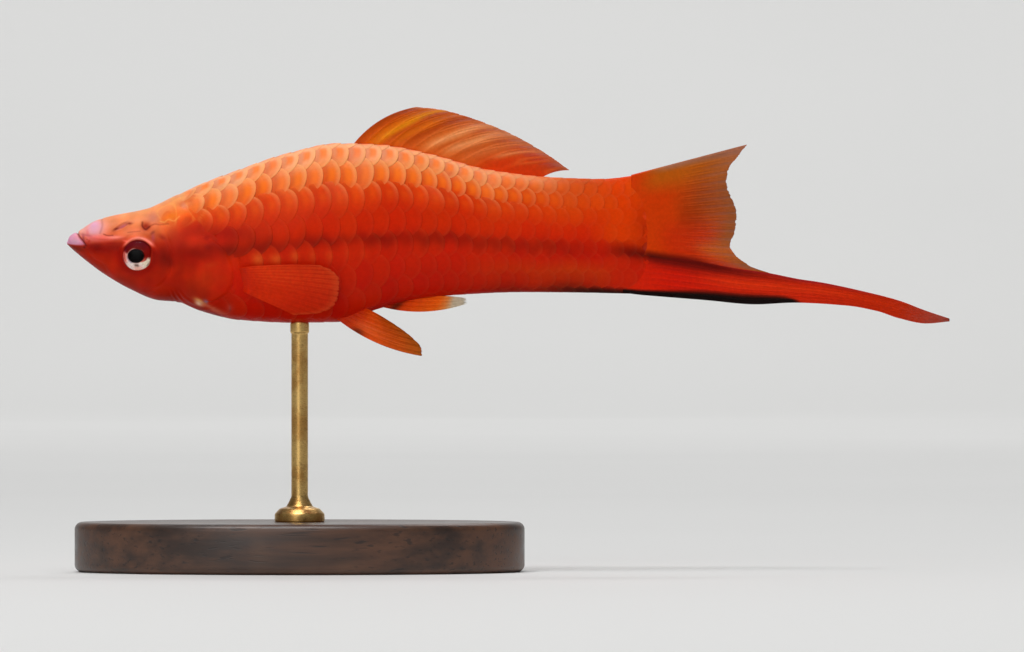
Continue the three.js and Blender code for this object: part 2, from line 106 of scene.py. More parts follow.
# Lines on the head, as (s, h) pairs
MOUTH_LINE = [(0.8, 1.9), (1.32, 0.7), (1.95, -0.15), (2.2, -0.6)]
JAW_LINE = [(2.2, -0.6), (3.1, -2.1), (4.4, -3), (5.1, -5.4)]
LOWER_LIP_LINE = [(-0.6, -0.22), (0.5, -0.46), (1.5, -0.52), (2.3, -0.4)]
LIP_RIDGE = [(2.9, 0.42), (4.3, 0.26), (5.2, 0.22), (6.1, 0.28), (7, 0.42)]
CHEEK_LINE = [(11.7, 1.2), (12.6, -1.2), (12.4, -3.6), (11.3, -5.2), (9.5, -6)]
GILL_OUTLINE = [
    (16.2, 0.5), (18.9, -1.1), (19.95, -4), (18.9, -6.5), (16.4, -7.4), (14.2, -6.4),
    (13.4, -3.9), (14, -1.1),
]
GILL_RAISED = 0.11
# Scales begin behind this line.
SCALE_LINE = [
    (12.6, 7.6), (13.4, 5.4), (14.9, 3.2), (17, 1.2), (19.4, -0.8), (20.6, -3.8), (19.4, -7.2),
    (16, -8.8), (15.6, -10.8),
]

# Scales
COAT = 0.18  # depth of the skin under the outline where it carries scales
SCALE_ROWS = 7  # on each side, between the middle rows of the back and of the belly
ROW_START = -0.02
ROW_STEP = 0.125  # share of the half girth
PITCH = [(9, 2.05), (25.4, 2.04), (35, 1.98), (42, 1.88), (48, 1.7), (72.6, 1.6)]
PITCH_ANCHOR = 31.8  # a rear edge of the first row lies here
FIRST_REAR = 8  # no scale ends further forward
LAST_REAR = 71.4  # or further back
BELLY_ROW = -SCALE_ROWS - 1
PLATE_LENGTH = 1.42  # times the pitch
PLATE_HALF_HEIGHT = 0.72  # times the distance between rows
PLATE_ROUND = 0.96  # the rear edge's bow, times the pitch
PLATE_TILT = 0.062
PLATE_DOME = 0.03
PLATE_THICKNESS = 0.05
PLATE_ACROSS = 20
PLATE_ALONG = 14
BAKE_PATCH = 0.003  # a plate's breadth on the unwrap that is baked
BAKE_MARGIN = 0.02

# Stand
BASE_LENGTH = 54
BASE_WIDTH = 34
BASE_HEIGHT = 6
BASE_BEVEL = 0.9
ROD_S = 27.8
ROD_TOP = SNOUT_HEIGHT + min(h for _, h in BELLY)
ROD_RADIUS = 1
FOOT_RADIUS = 3
SLEEVE_RADIUS = 1.13
ROD_OUTLINE = [
    (0.01, BASE_HEIGHT), (FOOT_RADIUS, BASE_HEIGHT), (FOOT_RADIUS, BASE_HEIGHT + 0.96),
    (2.4, BASE_HEIGHT + 1.6), (1.6, BASE_HEIGHT + 1.84), (1.25, BASE_HEIGHT + 2.5),
    (ROD_RADIUS, BASE_HEIGHT + 3.04), (ROD_RADIUS, ROD_TOP - 1.25), (SLEEVE_RADIUS, ROD_TOP - 1.15),
    (SLEEVE_RADIUS, ROD_TOP - 0.06), (ROD_RADIUS, ROD_TOP + 0.1), (0.01, ROD_TOP + 0.14),
]

rng = np.random.default_rng(12)


# Curves and distances


def profile(points):
    """Smooth curve through (place, value) pairs that never overshoots them."""
    places, values = np.array(points, float).T
    rise = np.diff(values) / np.diff(places)
    slope = np.empty(len(places))
    slope[0] = rise[0]
    slope[-1] = rise[-1]
    before = rise[:-1]
    after = rise[1:]
    turning = before * after <= 0
    slope[1:-1] = np.where(turning, 0, 2 * before * after / np.where(turning, 1, before + after))

    def at(place):
        place = np.clip(place, places[0], places[-1])
        i = np.clip(np.searchsorted(places, place, side="right") - 1, 0, len(places) - 2)
        span = places[i + 1] - places[i]
        t = (place - places[i]) / span
        a = (1 + 2 * t) * (1 - t) ** 2 * values[i]
        b = t * (1 - t) ** 2 * span * slope[i]
        c = t * t * (3 - 2 * t) * values[i + 1]
        d = t * t * (t - 1) * span * slope[i + 1]
        return a + b + c + d

    return at


def smooth(low, high, value):
    """0 below low, 1 above high, with a soft rise between. low may be above high."""
    t = np.clip((value - low) / (high - low), 0, 1)
    return t * t * (3 - 2 * t)


def lerp(a, b, t):
    return a + (b - a) * t


def hump(value, width):
    return np.exp(-((value / width) ** 2))


def smooth_line(corners, closed=False):
    """Points on a smooth curve through corners."""
    steps = 12
    p = np.array(corners, float)
    if closed:
        p = np.vstack([p[-1], p, p[:2]])
    else:
        p = np.vstack([2 * p[0] - p[1], p, 2 * p[-1] - p[-2]])
    t = (np.arange(steps) / steps)[:, None]
    pieces = []
    for a, b, c, d in zip(p[:-3], p[1:-2], p[2:-1], p[3:]):
        bend = (2 * a - 5 * b + 4 * c - d) * t**2 + (3 * b - a - 3 * c + d) * t**3
        pieces.append(0.5 * (2 * b + (c - a) * t + bend))
    line = np.vstack(pieces)
    return line if closed else np.vstack([line, p[-2]])


def line_distance(s, h, corners, closed=False):
    """Distance to the smooth line through corners, positive on the left of the line's way."""
    line = smooth_line(corners, closed)
    points = np.vstack([line, line[:1]]) if closed else line
    best = np.full(s.shape, np.inf)
    sign = np.ones(s.shape)
    for (s0, h0), (s1, h1) in zip(points[:-1], points[1:]):
        ds, dh = s1 - s0, h1 - h0
        t = np.clip(((s - s0) * ds + (h - h0) * dh) / (ds * ds + dh * dh), 0, 1)
        away = np.hypot(s - s0 - t * ds, h - h0 - t * dh)
        nearer = away < best - 1e-9
        best = np.where(nearer, away, best)
        sign = np.where(nearer, np.sign(ds * (h - h0) - dh * (s - s0)), sign)
    return best * sign


# The body's surface


back = profile(BACK)
belly = profile(BELLY)
half_width = profile(HALF_WIDTH)
waist = profile(WAIST)
full_above = profile(FULL_ABOVE)
full_below = profile(FULL_BELOW)
pitch = profile(PITCH)


def widest(s):
    return belly(s) + (back(s) - belly(s)) * waist(s)


def depth_share(s, h):
    """How far down the body a place is: 0 on the back, 1 on the belly."""
    return (back(s) - h) / (back(s) - belly(s))


def half_outline(s, above):
    """Height and fullness of the outline over its widest place, or under it."""
    tall = np.where(above, back(s) - widest(s), widest(s) - belly(s))
    return tall, np.where(above, full_above(s), full_below(s))


def ring_point(s, angle):
    """(y, h) of the outline's skin. Angle 0 is the back, and it turns towards +Y."""
    cos = np.cos(angle)
    sin = np.sin(angle)
    tall, full = half_outline(s, cos > 0)
    power = 2 / full
    y = np.sign(sin) * half_width(s) * np.abs(sin) ** power
    h = widest(s) + np.sign(cos) * tall * np.abs(cos) ** power
    return y, h


def side_of_body(s, h):
    """Distance of the outline's skin from the middle plane."""
    tall, full = half_outline(s, h > widest(s))
    share = np.minimum(1, np.abs(h - widest(s)) / tall)
    return half_width(s) * (1 - share**full) ** (1 / full)


# Angles for even steps round the half girth, at stations along the body
TABLE_S = np.concatenate([np.linspace(0, 1.5, 60)[:-1], np.linspace(1.5, SKIN_END, 480)])
TABLE_V = np.linspace(0, 1, 241)


def girth_tables():
    fine = np.linspace(0, math.pi, 1201)
    angles = np.empty((len(TABLE_S), len(TABLE_V)))
    girths = np.empty(len(TABLE_S))
    for i, s in enumerate(TABLE_S):
        y, h = ring_point(np.full(fine.shape, s), fine)
        passed = np.concatenate([[0], np.cumsum(np.hypot(np.diff(y), np.diff(h)))])
        girths[i] = passed[-1]
        angles[i] = np.interp(TABLE_V * passed[-1], passed, fine)
    return angles, girths


ANGLE_TABLE, GIRTH_TABLE = girth_tables()


def half_girth(s):
    return np.interp(s, TABLE_S, GIRTH_TABLE)


def body_point(s, w):
    """(s, y, h) of the outline's skin. w is the share of the half girth from the back to the
    belly, negative on the left side, and it may run on past the belly."""
    s, w = np.broadcast_arrays(s, w)
    w = np.mod(w + 1, 2) - 1
    row = np.interp(s, TABLE_S, np.arange(len(TABLE_S)))
    column = np.abs(w) * (len(TABLE_V) - 1)
    i = np.clip(row.astype(int), 0, len(TABLE_S) - 2)
    j = np.clip(column.astype(int), 0, len(TABLE_V) - 2)
    a = row - i
    b = column - j
    angle = lerp(
        lerp(ANGLE_TABLE[i, j], ANGLE_TABLE[i + 1, j], a),
        lerp(ANGLE_TABLE[i, j + 1], ANGLE_TABLE[i + 1, j + 1], a),
        b,
    )
    y, h = ring_point(s, np.where(w < 0, -angle, angle))
    return np.stack([s, y, h], -1)


def unit(vectors):
    return vectors / np.maximum(np.linalg.norm(vectors, axis=-1, keepdims=True), 1e-12)


def body_normal(s, w):
    along = body_point(s + 0.05, w) - body_point(s - 0.05, w)
    around = body_point(s, w + 0.002) - body_point(s, w - 0.002)
    return unit(np.cross(along, around))


def frame_points(points):
    """Points on the fish, in metres in the part's frame, carried along the tail's sweep."""
    s, y, h = np.moveaxis(points, -1, 0)
    behind = np.clip(s - SWEEP_START, 0, None) / (TOTAL_LENGTH - SWEEP_START)
    swept = y + SWEEP_AT_TIP * behind**2
    return np.stack([s - TOTAL_LENGTH / 2, swept, SNOUT_HEIGHT + h], -1) / 1000


# Meshes


def full_turn(count):
    """Angles in even steps once round."""
    return np.linspace(0, 2 * math.pi, count + 1)[:-1]


def grid_faces(rows, columns, first=0, closed=False):
    """Quads over a grid of points. A closed grid joins its last column to its first."""
    across = columns if closed else columns - 1
    r, c = np.meshgrid(np.arange(rows - 1), np.arange(across), indexing="ij")
    r = r.ravel()
    c = c.ravel()
    beside = (c + 1) % columns
    quads = np.stack([r, r, r + 1, r + 1], -1) * columns + np.stack([c, beside, beside, c], -1)
    return quads + first


def border(rows, columns):
    """Indices of the points round the edge of a grid, in order."""
    index = np.arange(rows * columns).reshape(rows, columns)
    return np.concatenate([index[0, :-1], index[:-1, -1], index[-1, :0:-1], index[:0:-1, 0]])


def faces_outwards(points, faces):
    """The faces turned so that they enclose a positive volume."""
    centred = points - points.mean(0)
    volume = 0
    for group in faces:
        p = centred[group]
        for k in range(1, group.shape[1] - 1):
            volume += np.sum(p[:, 0] * np.cross(p[:, k], p[:, k + 1]))
    return faces if volume > 0 else [group[:, ::-1] for group in faces]


def mesh_object(name, points, faces, attributes=None):
    """A smooth mesh from points and a list of index arrays, with values at its points."""
    mesh = bpy.data.meshes.new(name)
    corners = np.concatenate([group.ravel() for group in faces]).astype(np.int32)
    sizes = np.concatenate([np.full(len(group), group.shape[1]) for group in faces])
    starts = np.concatenate([[0], np.cumsum(sizes)[:-1]]).astype(np.int32)
    mesh.vertices.add(len(points))
    mesh.vertices.foreach_set("co", points.astype(np.float32).ravel())
    mesh.loops.add(len(corners))
    mesh.loops.foreach_set("vertex_index", corners)
    mesh.polygons.add(len(sizes))
    mesh.polygons.foreach_set("loop_start", starts)
    mesh.polygons.foreach_set("use_smooth", np.ones(len(sizes), bool))
    mesh.update(calc_edges=True)
    for key, values in (attributes or {}).items():
        if values.ndim == 2:
            layer = mesh.attributes.new(key, "FLOAT_COLOR", "POINT")
            rgba = np.column_stack([values, np.ones(len(values))])
            layer.data.foreach_set("color", rgba.astype(np.float32).ravel())
        else:
            layer = mesh.attributes.new(key, "FLOAT", "POINT")
            layer.data.foreach_set("value", values.astype(np.float32))
    made = bpy.data.objects.new(name, mesh)
    bpy.context.scene.collection.objects.link(made)
    return made


def finish_piece(piece, material, slot, *nodes):
    piece.data.materials.append(material)
    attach(piece, "root")
    if nodes:
        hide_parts(*nodes)


# Colours, worked out as they show and turned to linear at the end


def shade(*levels):
    return np.array(levels, float) / 255


def linear(colours):
    colours = np.clip(colours, 0, 1)
    return np.where(colours <= 0.04045, colours / 12.92, ((colours + 0.055) / 1.055) ** 2.4)


def stops(value, rows):
    """Colour at a value, between rows of (place, red, green, blue)."""
    rows = np.array(rows, float)
    channels = [np.interp(value, rows[:, 0], rows[:, k] / 255) for k in (1, 2, 3)]
    return np.stack(channels, -1)


def tint(colours, colour, amount):
    return colours + (colour - colours) * np.clip(amount, 0, 1)[..., None]


def paint(colours, *layers):
    """Lays plain colours over the colours in turn, each by its amount."""
    for levels, amount in layers:
        colours = tint(colours, shade(*levels), amount)
    return colours


def spot(x, y, middle_x, middle_y, half_x, half_y):
    """1 in the middle of a soft oval, falling to 0 outside it."""
    return hump(np.hypot((x - middle_x) / half_x, (y - middle_y) / half_y), 1)


# Tones from the back (0) to the belly (1): the fish's own orange back and red flanks, painted lighter
# on the back where light falls from above and darker towards the belly as painted shade
HEAD_TONES = [
    (0, 244, 152, 100), (0.16, 246, 136, 84), (0.3, 228, 98, 50),
    (0.42, 198, 48, 20), (0.55, 176, 24, 3), (0.75, 190, 32, 2),
    (1, 152, 20, 4),
]
TRUNK_TONES = [
    (0, 250, 160, 110), (0.12, 248, 132, 66), (0.2, 246, 106, 38),
    (0.28, 230, 66, 12), (0.4, 212, 40, 4), (0.7, 216, 29, 2),
    (0.9, 204, 22, 2), (1, 190, 18, 2),
]
STALK_TONES = [
    (0, 204, 74, 24), (0.14, 220, 72, 14), (0.3, 226, 66, 6),
    (0.46, 222, 42, 4), (0.7, 206, 24, 2), (0.8, 208, 50, 4),
    (0.9, 188, 34, 3), (1, 108, 20, 4),
]
ROOT_TONES = [
    (1.2, 206, 42, 1), (2.5, 204, 48, 1), (4.9, 224, 59, 1),
    (6, 212, 72, 4), (7.3, 196, 88, 10), (8.4, 204, 104, 60),
]
LILAC = (226, 158, 194)
STRIPE = (112, 8, 4)
SIDE_LINE = [
    (16, -0.9), (20, -0.9), (26, -0.4), (30, -0.05), (37, 0.2), (44.6, 0.3), (48, 0.05),
    (52, -0.35), (59, -0.75), (66, -1.1),
]
DARK = (84, 14, 12)

# Soft patches on the head and behind it: (s, h, half length, half height, rise, colour, amount)
PATCHES = [
    # upper lip: pale orange front, lilac pad, red wrinkle
    (1.7, 1.2, 0.6, 0.6, 0.7, (242, 162, 138), 0.8),
    (3.3, 1.25, 1.5, 1.15, 0.2, (240, 168, 180), 0.95),
    (3.2, 1.5, 0.8, 0.6, 0.2, (234, 172, 190), 0.8),
    (3.3, 1.95, 0.6, 0.42, 0.2, (230, 168, 204), 0.75),
    (2.45, 0.95, 0.2, 0.36, -0.5, (236, 104, 108), 0.5),
    # purple fold over the mouth, partly painted shade in the fold, and pinkish red blotches under it
    (2.3, 0.64, 0.65, 0.2, -0.15, (170, 84, 100), 0.3),
    (3.1, 0.38, 1.4, 0.36, 0, (248, 122, 120), 0.85),
    (1.98, 0.3, 0.17, 0.4, -0.9, (116, 44, 62), 0.6),
    (2.22, 0.34, 0.18, 0.12, 0, (200, 98, 52), 0.6),
    (2.4, 0.16, 0.1, 0.1, 0, (116, 22, 14), 0.5),
    (2.64, -0.04, 0.17, 0.19, 0, (168, 34, 16), 0.7),
    (3.06, -0.16, 0.2, 0.12, 0, (214, 88, 52), 0.6),
    (2.05, -0.76, 0.13, 0.12, 0, (60, 10, 8), 0.7),
    (1.1, -0.05, 0.5, 0.24, 0, (222, 186, 200), 0.5),
    # painted shade in the hollow behind the mouth's corner, and under the lower lip
    (3.6, -0.85, 1.2, 0.6, -0.1, (104, 6, 6), 0.65),
    (5.9, -0.75, 1.5, 0.45, 0, (126, 8, 6), 0.5),
    (1.2, -0.95, 0.9, 0.26, -0.3, (112, 26, 16), 0.6),
    # lit ridge from the lips to the eye as painted highlights, with painted shade under it
    (4.9, 0.24, 1.9, 0.32, 0.03, (244, 94, 82), 0.85),
    (5.7, 0.42, 1.0, 0.22, 0, (255, 140, 126), 0.9),
    (7.0, -0.02, 0.4, 0.14, -0.2, (255, 108, 92), 0.7),
    (5.4, -0.3, 0.8, 0.13, 0, (140, 14, 12), 0.5),
    # nostril
    (6.65, 1.75, 0.62, 0.26, 0.5, (176, 84, 104), 0.85),
    (5.85, 1.4, 0.32, 0.16, 0.45, DARK, 0.75),
    (7.5, 2.05, 0.34, 0.12, 0.1, (120, 30, 26), 0.7),
    # lit skin over the eye
    (7.9, 1.0, 1.7, 0.5, 0.08, (255, 142, 104), 0.7),
    # top of the head
    (6.1, 3.0, 0.42, 0.32, 0, (228, 130, 110), 0.3),
    (10.3, 2.7, 0.75, 0.8, 0, (184, 106, 100), 0.6),
    (14.0, 4.2, 0.5, 0.5, 0, (198, 128, 110), 0.5),
    (12.4, 2.85, 0.9, 0.55, 0.2, (255, 126, 30), 0.75),
    (9.2, 3.6, 1.4, 0.4, 0.25, (255, 158, 92), 0.6),
    # pore behind and above the eye
    (9.5, 1.72, 0.55, 0.5, 0, (150, 30, 14), 0.85),
    (10.3, 0.95, 0.26, 0.2, 0.5, DARK, 0.45),
    (10.35, 0.35, 0.26, 0.55, 0, (190, 80, 104), 0.6),
    # dark marks behind the eye, on the way to the side stripe
    (11.5, 0.4, 0.45, 0.3, -0.4, (110, 8, 8), 0.4),
    (11.6, -1.7, 0.9, 1.3, -0.3, (106, 6, 4), 0.6),
    (12.4, -2.6, 0.5, 0.6, -0.3, (96, 4, 4), 0.35),
    (13.2, -4.1, 0.7, 0.5, 0.4, (120, 4, 4), 0.25),
    (16.8, 0.35, 0.35, 0.3, 0, (120, 10, 8), 0.5),
    (16.9, -0.85, 0.5, 0.42, 0, (104, 8, 18), 0.4),
    (19.4, -1.1, 1.3, 0.75, 0, (110, 18, 6), 0.6),
    # dark red behind the head, under the first big scales
    (15.4, 1.3, 1.6, 0.9, 0.25, (176, 24, 4), 0.6),
    (19.6, 0.75, 3.6, 0.95, -0.08, (150, 14, 2), 0.62),
    # lighter cheek and gill cover
    (7.3, -3.9, 1.3, 0.4, 0, (204, 40, 14), 0.5),
    (12.0, -5.6, 1.9, 0.8, 0.1, (194, 32, 6), 0.55),
    (17.2, -4.3, 2.3, 2.0, 0.3, (204, 52, 10), 0.55),
    (17.2, -2.9, 0.9, 0.35, 0.2, (214, 84, 30), 0.3),
    (16.4, -4.4, 0.12, 0.9, 0, (220, 78, 22), 0.22),
    (15.4, -1.5, 3.0, 1.0, -0.12, (136, 12, 2), 0.75),
    # pale throat with a bluish spot
    (15.9, -7.25, 0.62, 0.34, -0.4, (246, 200, 120), 0.9),
    (15.75, -7.55, 0.45, 0.24, -0.3, (255, 236, 206), 0.8),
    (16.7, -7.3, 0.32, 0.34, -0.4, (142, 116, 150), 0.85),
    (17.6, -8.15, 1.7, 0.3, -0.42, (216, 112, 82), 0.7),
    (19.5, -8.05, 0.45, 0.4, 0, (190, 110, 120), 0.5),
    # lit scales above the breast fin, and a purplish one on the back
    (22.9, -2.3, 0.65, 0.6, 0, (244, 118, 44), 0.65),
    (25.1, -2.25, 0.75, 0.5, 0, (244, 112, 40), 0.65),
    (27.3, -1.95, 0.6, 0.6, 0, (244, 108, 36), 0.6),
    (29.4, -1.9, 0.55, 0.6, 0, (240, 96, 30), 0.4),
    (31.4, -1.85, 0.5, 0.6, 0, (240, 96, 30), 0.4),
    (33.6, -1.6, 0.5, 0.6, 0, (236, 80, 20), 0.3),
    (35.6, -1.6, 0.6, 0.5, 0, (236, 80, 20), 0.3),
    (45.8, 7.6, 0.85, 1.0, 0, (216, 84, 50), 0.7),
    (46.9, 9.1, 0.5, 0.45, 0, (255, 164, 130), 0.6),
]

# Fine lines on the head: (corners, half width, colour, amount, depth)
FINE_LINES = [
    ([(4.4, 0.78), (4.9, 0.62), (5.5, 0.64)], 0.07, (130, 36, 24), 0.6, 0.03),
    ([(7.3, 0.98), (7.9, 1.06), (8.8, 1.14)], 0.07, (140, 34, 20), 0.3, 0.03),
    ([(9.05, 2.2), (9.05, 1.75), (9.45, 1.35), (9.9, 1.68)], 0.11, DARK, 0.6, 0.08),
    ([(9.9, 1.68), (10.5, 1.98), (11.2, 1.92), (12.2, 2.02)], 0.08, (140, 44, 24), 0.4, 0.03),
    (
        [(11.2, 2.3), (11.7, 2.2), (12.2, 2.5), (12.9, 2.35), (13.5, 2.9)],
        0.09, (255, 176, 96), 0.5, -0.05,
    ),
    ([(4.05, 2.7), (4.2, 1.8), (3.95, 0.9)], 0.12, (140, 70, 70), 0.25, 0.05),
    # purple fold over the mouth, its darkness partly painted shade in the fold
    ([(1.5, 0.82), (2.2, 0.68), (2.95, 0.52)], 0.14, (130, 44, 64), 0.16, 0.02),
]


def wobble(s, h, seed, size):
    """Slow variation between about -1 and 1, of a given size in millimetres."""
    draw = np.random.default_rng(seed)
    total = 0
    for k in range(5):
        way = draw.uniform(0, 2 * math.pi)
        start = draw.uniform(0, 2 * math.pi)
        turn = 2 * math.pi / (size * draw.uniform(0.7, 1.5))
        total = total + np.sin((s * math.cos(way) + h * math.sin(way)) * turn + start)
    return total / 2.6


def body_colour(s, h):
    """The fish's ground colour with its markings and painted light and shade, as it shows."""
    share = np.clip(depth_share(s, h), 0, 1)
    share = np.clip(share + 0.02 * wobble(s, h, 3, 6), 0, 1)
    share = share + 0.035 * smooth(36, 46, s) * hump(share - 0.25, 0.12)
    head = stops(share, HEAD_TONES)
    trunk = stops(share, TRUNK_TONES)
    stalk = stops(share, STALK_TONES)
    colour = lerp(head, trunk, smooth(11, 17, s + 0.6 * h)[..., None])
    colour = lerp(colour, stalk, smooth(42, 62, s)[..., None])

    # Dark line along the middle of the side
    middle = profile(SIDE_LINE)(s) + 0.2 * np.sin(s * 2.9) + 0.12 * np.sin(s * 1.1 + 1)
    line = hump(h - middle, 0.8) * smooth(16, 19, s) * smooth(66, 58, s)
    blotch = 0.12 * np.sin(s * 0.9 - 0.6) * smooth(46, 38, s)
    amount = (lerp(0.46, 0.36, smooth(44, 54, s)) + blotch) * line
    colour = paint(colour, (STRIPE, amount))

    # Root of the tail, with the dark marks that lead into the sword
    above = h - profile([(60, -0.8), (65.8, -1.1), (68.6, -1.5), (72.6, -2.2)])(s)
    colour = paint(colour, ((234, 62, 2), smooth(62, 67, s) * smooth(0, 1.6, above)))
    colour = tint(colour, stops(h, ROOT_TONES), smooth(66.5, 70, s) * smooth(0, 1.6, above))
    dusky = smooth(70.4, 72.4, s) * smooth(0.6, 2, above) * smooth(7, 5, h)
    # Painted highlight along the top of the back, where the light from above falls
    pale = smooth(0.13, 0.02, share) * smooth(12, 16, s) * smooth(62, 54, s)
    colour = paint(
        colour,
        ((196, 54, 2), 0.35 * dusky),
        ((208, 28, 4), smooth(63, 67, s) * smooth(-0.2, -1, above)),
        ((84, 8, 3), 0.75 * hump(above, 0.8) * smooth(62.8, 69, s)),
        ((30, 5, 4), 0.9 * smooth(0.8, 0.1, h - belly(s)) * smooth(58, 64, s)),
        ((255, 192, 152), 0.5 * pale),
    )

    # Uneven red on the cheek and gill cover, blotches and a pale network on the nape
    uneven = wobble(s, h, 31, 2.4) * smooth(3, 5, s) * smooth(21, 18, s)
    colour = colour * (1 + 0.06 * uneven)[..., None]
    nape = smooth(9.6, 11, s) * smooth(18, 15.5, s) * smooth(1.4, 2.4, h)
    net = smooth(0.3, 0.04, np.abs(wobble(s, h, 21, 2.2)))
    blotches = smooth(0.3, 0.9, wobble(s, h, 22, 2.6))
    colour = paint(
        colour,
        ((255, 180, 92), 0.32 * net * nape),
        ((216, 80, 32), 0.42 * blotches * nape),
    )

    # Lower lip with painted shadow under it, then the soft patches and fine lines
    mouth = line_distance(s, h, MOUTH_LINE)
    lower = line_distance(s, h, LOWER_LIP_LINE)
    lower_lip = smooth(0.05, -0.08, mouth) * smooth(-0.16, 0.16, lower) * smooth(2.5, 1.9, s)
    colour = paint(
        colour,
        # painted shadow under the lower lip pad
        ((134, 32, 22), 0.6 * hump(lower + 0.26, 0.3) * smooth(2.6, 1.6, s)),
        (LILAC, 0.95 * lower_lip),
        ((206, 110, 132), 0.3 * lower_lip * smooth(1.1, 1.9, s)),
    )
    for place_s, place_h, long, tall, rise, levels, amount in PATCHES:
        levelled = h - rise * (s - place_s)
        near = spot(s, levelled, place_s, place_h, long, tall)
        colour = paint(colour, (levels, amount * near))
    for corners, width, levels, amount, _ in FINE_LINES:
        colour = paint(colour, (levels, amount * hump(line_distance(s, h, corners), width)))

    # Painted shade in the mouth's gap. Over the eye, a painted highlight on its rim and painted shade
    # in the hollow inside.
    around = np.hypot(s - EYE_S, h - EYE_H)
    arc = np.hypot(s - EYE_S - 0.16, h - EYE_H)
    over = smooth(0.1, 0.5, (h - EYE_H) / EYE_RIM)
    lit = smooth(0.38, 0.72, (h - EYE_H) / EYE_RIM) * lerp(0.75, 1, smooth(7.2, 8.6, s))
    return paint(
        colour,
        ((104, 26, 30), 0.7 * hump(mouth, 0.1) * smooth(-0.9, -0.4, h)),
        ((132, 4, 0), 0.45 * hump(around - EYE_RIM, 0.4) * (1 - over)),
        ((130, 18, 12), 0.9 * smooth(1.96, 1.7, arc) * over),
        ((255, 138, 120), hump(arc - 2.04, 0.2) * lit),
        ((226, 104, 84), 0.6 * smooth(1.72, 1.62, around) * (1 - over)),
    )


# The skin


def scaled_share(s, h):
    """0 on the bare head, 1 where the skin carries scales."""
    return smooth(-0.4, 0.9, line_distance(s, h, SCALE_LINE))


def head_relief(s, h):
    """How far the skin stands out of the body's outline on the head, without the eyes."""
    out = np.zeros(s.shape)

    # Mouth, lips and lower jaw
    mouth = line_distance(s, h, MOUTH_LINE)
    lower = line_distance(s, h, LOWER_LIP_LINE)
    jaw = line_distance(s, h, JAW_LINE)
    out -= 0.17 * hump(mouth, 0.1) * smooth(-0.9, -0.4, h)
    out += 0.07 * hump(np.abs(mouth) - 0.4, 0.3) * smooth(-1.1, -0.4, h)
    out += 0.13 * spot(s, h, 0.75, 0.15, 0.75, 0.55)
    out += 0.12 * spot(s, h, 3.3, 1.7, 0.75, 0.8)
    out -= 0.06 * hump(lower, 0.2) * smooth(2.4, 1.9, s)
    clear_of_edge = smooth(0.2, 1, h - belly(s))
    out -= 0.035 * hump(jaw, 0.16) * clear_of_edge
    out += 0.05 * hump(jaw - 0.45, 0.35) * smooth(-0.6, -1.4, h) * clear_of_edge
    out -= 0.1 * spot(s, h, 3.6, -0.7, 0.9, 0.4)

    # Ridge from the lips to the eye, nostril, pores and fine folds
    ridge = line_distance(s, h, LIP_RIDGE)
    out += 0.1 * hump(ridge, 0.2)
    nostril = np.hypot((s - 6.6) / 0.75, (h - 1.75 - 0.5 * (s - 6.6)) / 0.32)
    out -= 0.13 * smooth(1.1, 0.6, nostril)
    out += 0.05 * hump(nostril - 1.25, 0.25)
    for corners, width, _, _, depth in FINE_LINES:
        out -= depth * hump(line_distance(s, h, corners), width * 1.2)

    # Plates on the top of the head
    across = np.sin(2.2 * h + 0.8 * np.sin(1.7 * s))
    plate = 0.5 + 0.5 * np.sin(1.9 * s + 1.1 * np.sin(2.3 * h)) * across
    out += 0.04 * plate * smooth(9.6, 11, s) * smooth(1.2, 2.4, h)

    # Cheek and gill cover
    cheek = line_distance(s, h, CHEEK_LINE)
    out -= 0.05 * hump(cheek, 0.18)
    out += 0.04 * hump(cheek + 0.5, 0.4)
    inside = -line_distance(s, h, GILL_OUTLINE, closed=True)
    rear = smooth(14.4, 17.4, s) * lerp(1, 0.35, smooth(-3.4, -1, h))
    out += GILL_RAISED * smooth(-0.04, 0.2, inside) * rear
    out -= 0.1 * hump(np.minimum(inside + 0.16, 0), 0.3) * (inside < 0) * rear
    below = smooth(-5.6, -6.6, h) * smooth(8.6, 10.5, s) * smooth(19.6, 18, s)
    rays = np.sin(inside * 2 * math.pi / 0.5)
    out += 0.03 * rays * below * smooth(-2, -1.4, inside) * (inside < 0)
    return out


def eye_axes(side):
    """The eye's middle on its rim plane, and the ways out, forwards and up."""
    side_y = side_of_body(np.array(EYE_S), np.array(EYE_H))
    middle = np.array([EYE_S, side * (float(side_y) - EYE_SINK), EYE_H])
    out = np.array([-math.sin(EYE_TURN), side * math.cos(EYE_TURN), 0])
    forwards = np.array([-math.cos(EYE_TURN), -side * math.sin(EYE_TURN), 0])
    return middle, out, forwards, np.array([0, 0, 1.0])


def seat_eyes(points):
    """Sinks a bowl for each eye and closes the lids on it, with a raised ring of skin."""
    for side in (LEFT, RIGHT):
        middle, out, _, up = eye_axes(side)
        from_eye = points - middle
        height = from_eye @ out
        flat = from_eye - height[..., None] * out
        away = np.linalg.norm(flat, axis=-1)
        near = (away < 4) & (points[..., 1] * side > 0.4)
        above = smooth(-0.7, 1.3, flat @ up)
        ahead = -flat[..., 0] / np.maximum(away, 0.1)
        lid = lerp(LID_LOW - LID_NARROW * ahead**2, LID_HIGH, above)
        lid = lid - LID_FORWARD * above * np.maximum(ahead, 0)
        ring = lerp(0.05, 0.22, above) * hump(away - lid - 0.27, 0.17)
        fold = -0.06 * above * hump(away - lid - 0.8, 0.2)
        lip = smooth(lid + 0.12, lid, away)
        bowl = smooth(lid - 0.02, lid - 0.14, away)
        target = height + ring + fold
        target = lerp(target, 0.13 - 0.16 * above, lip)
        target = lerp(target, -1.0, bowl)
        points = points + np.where(near, target - height, 0)[..., None] * out
    return points


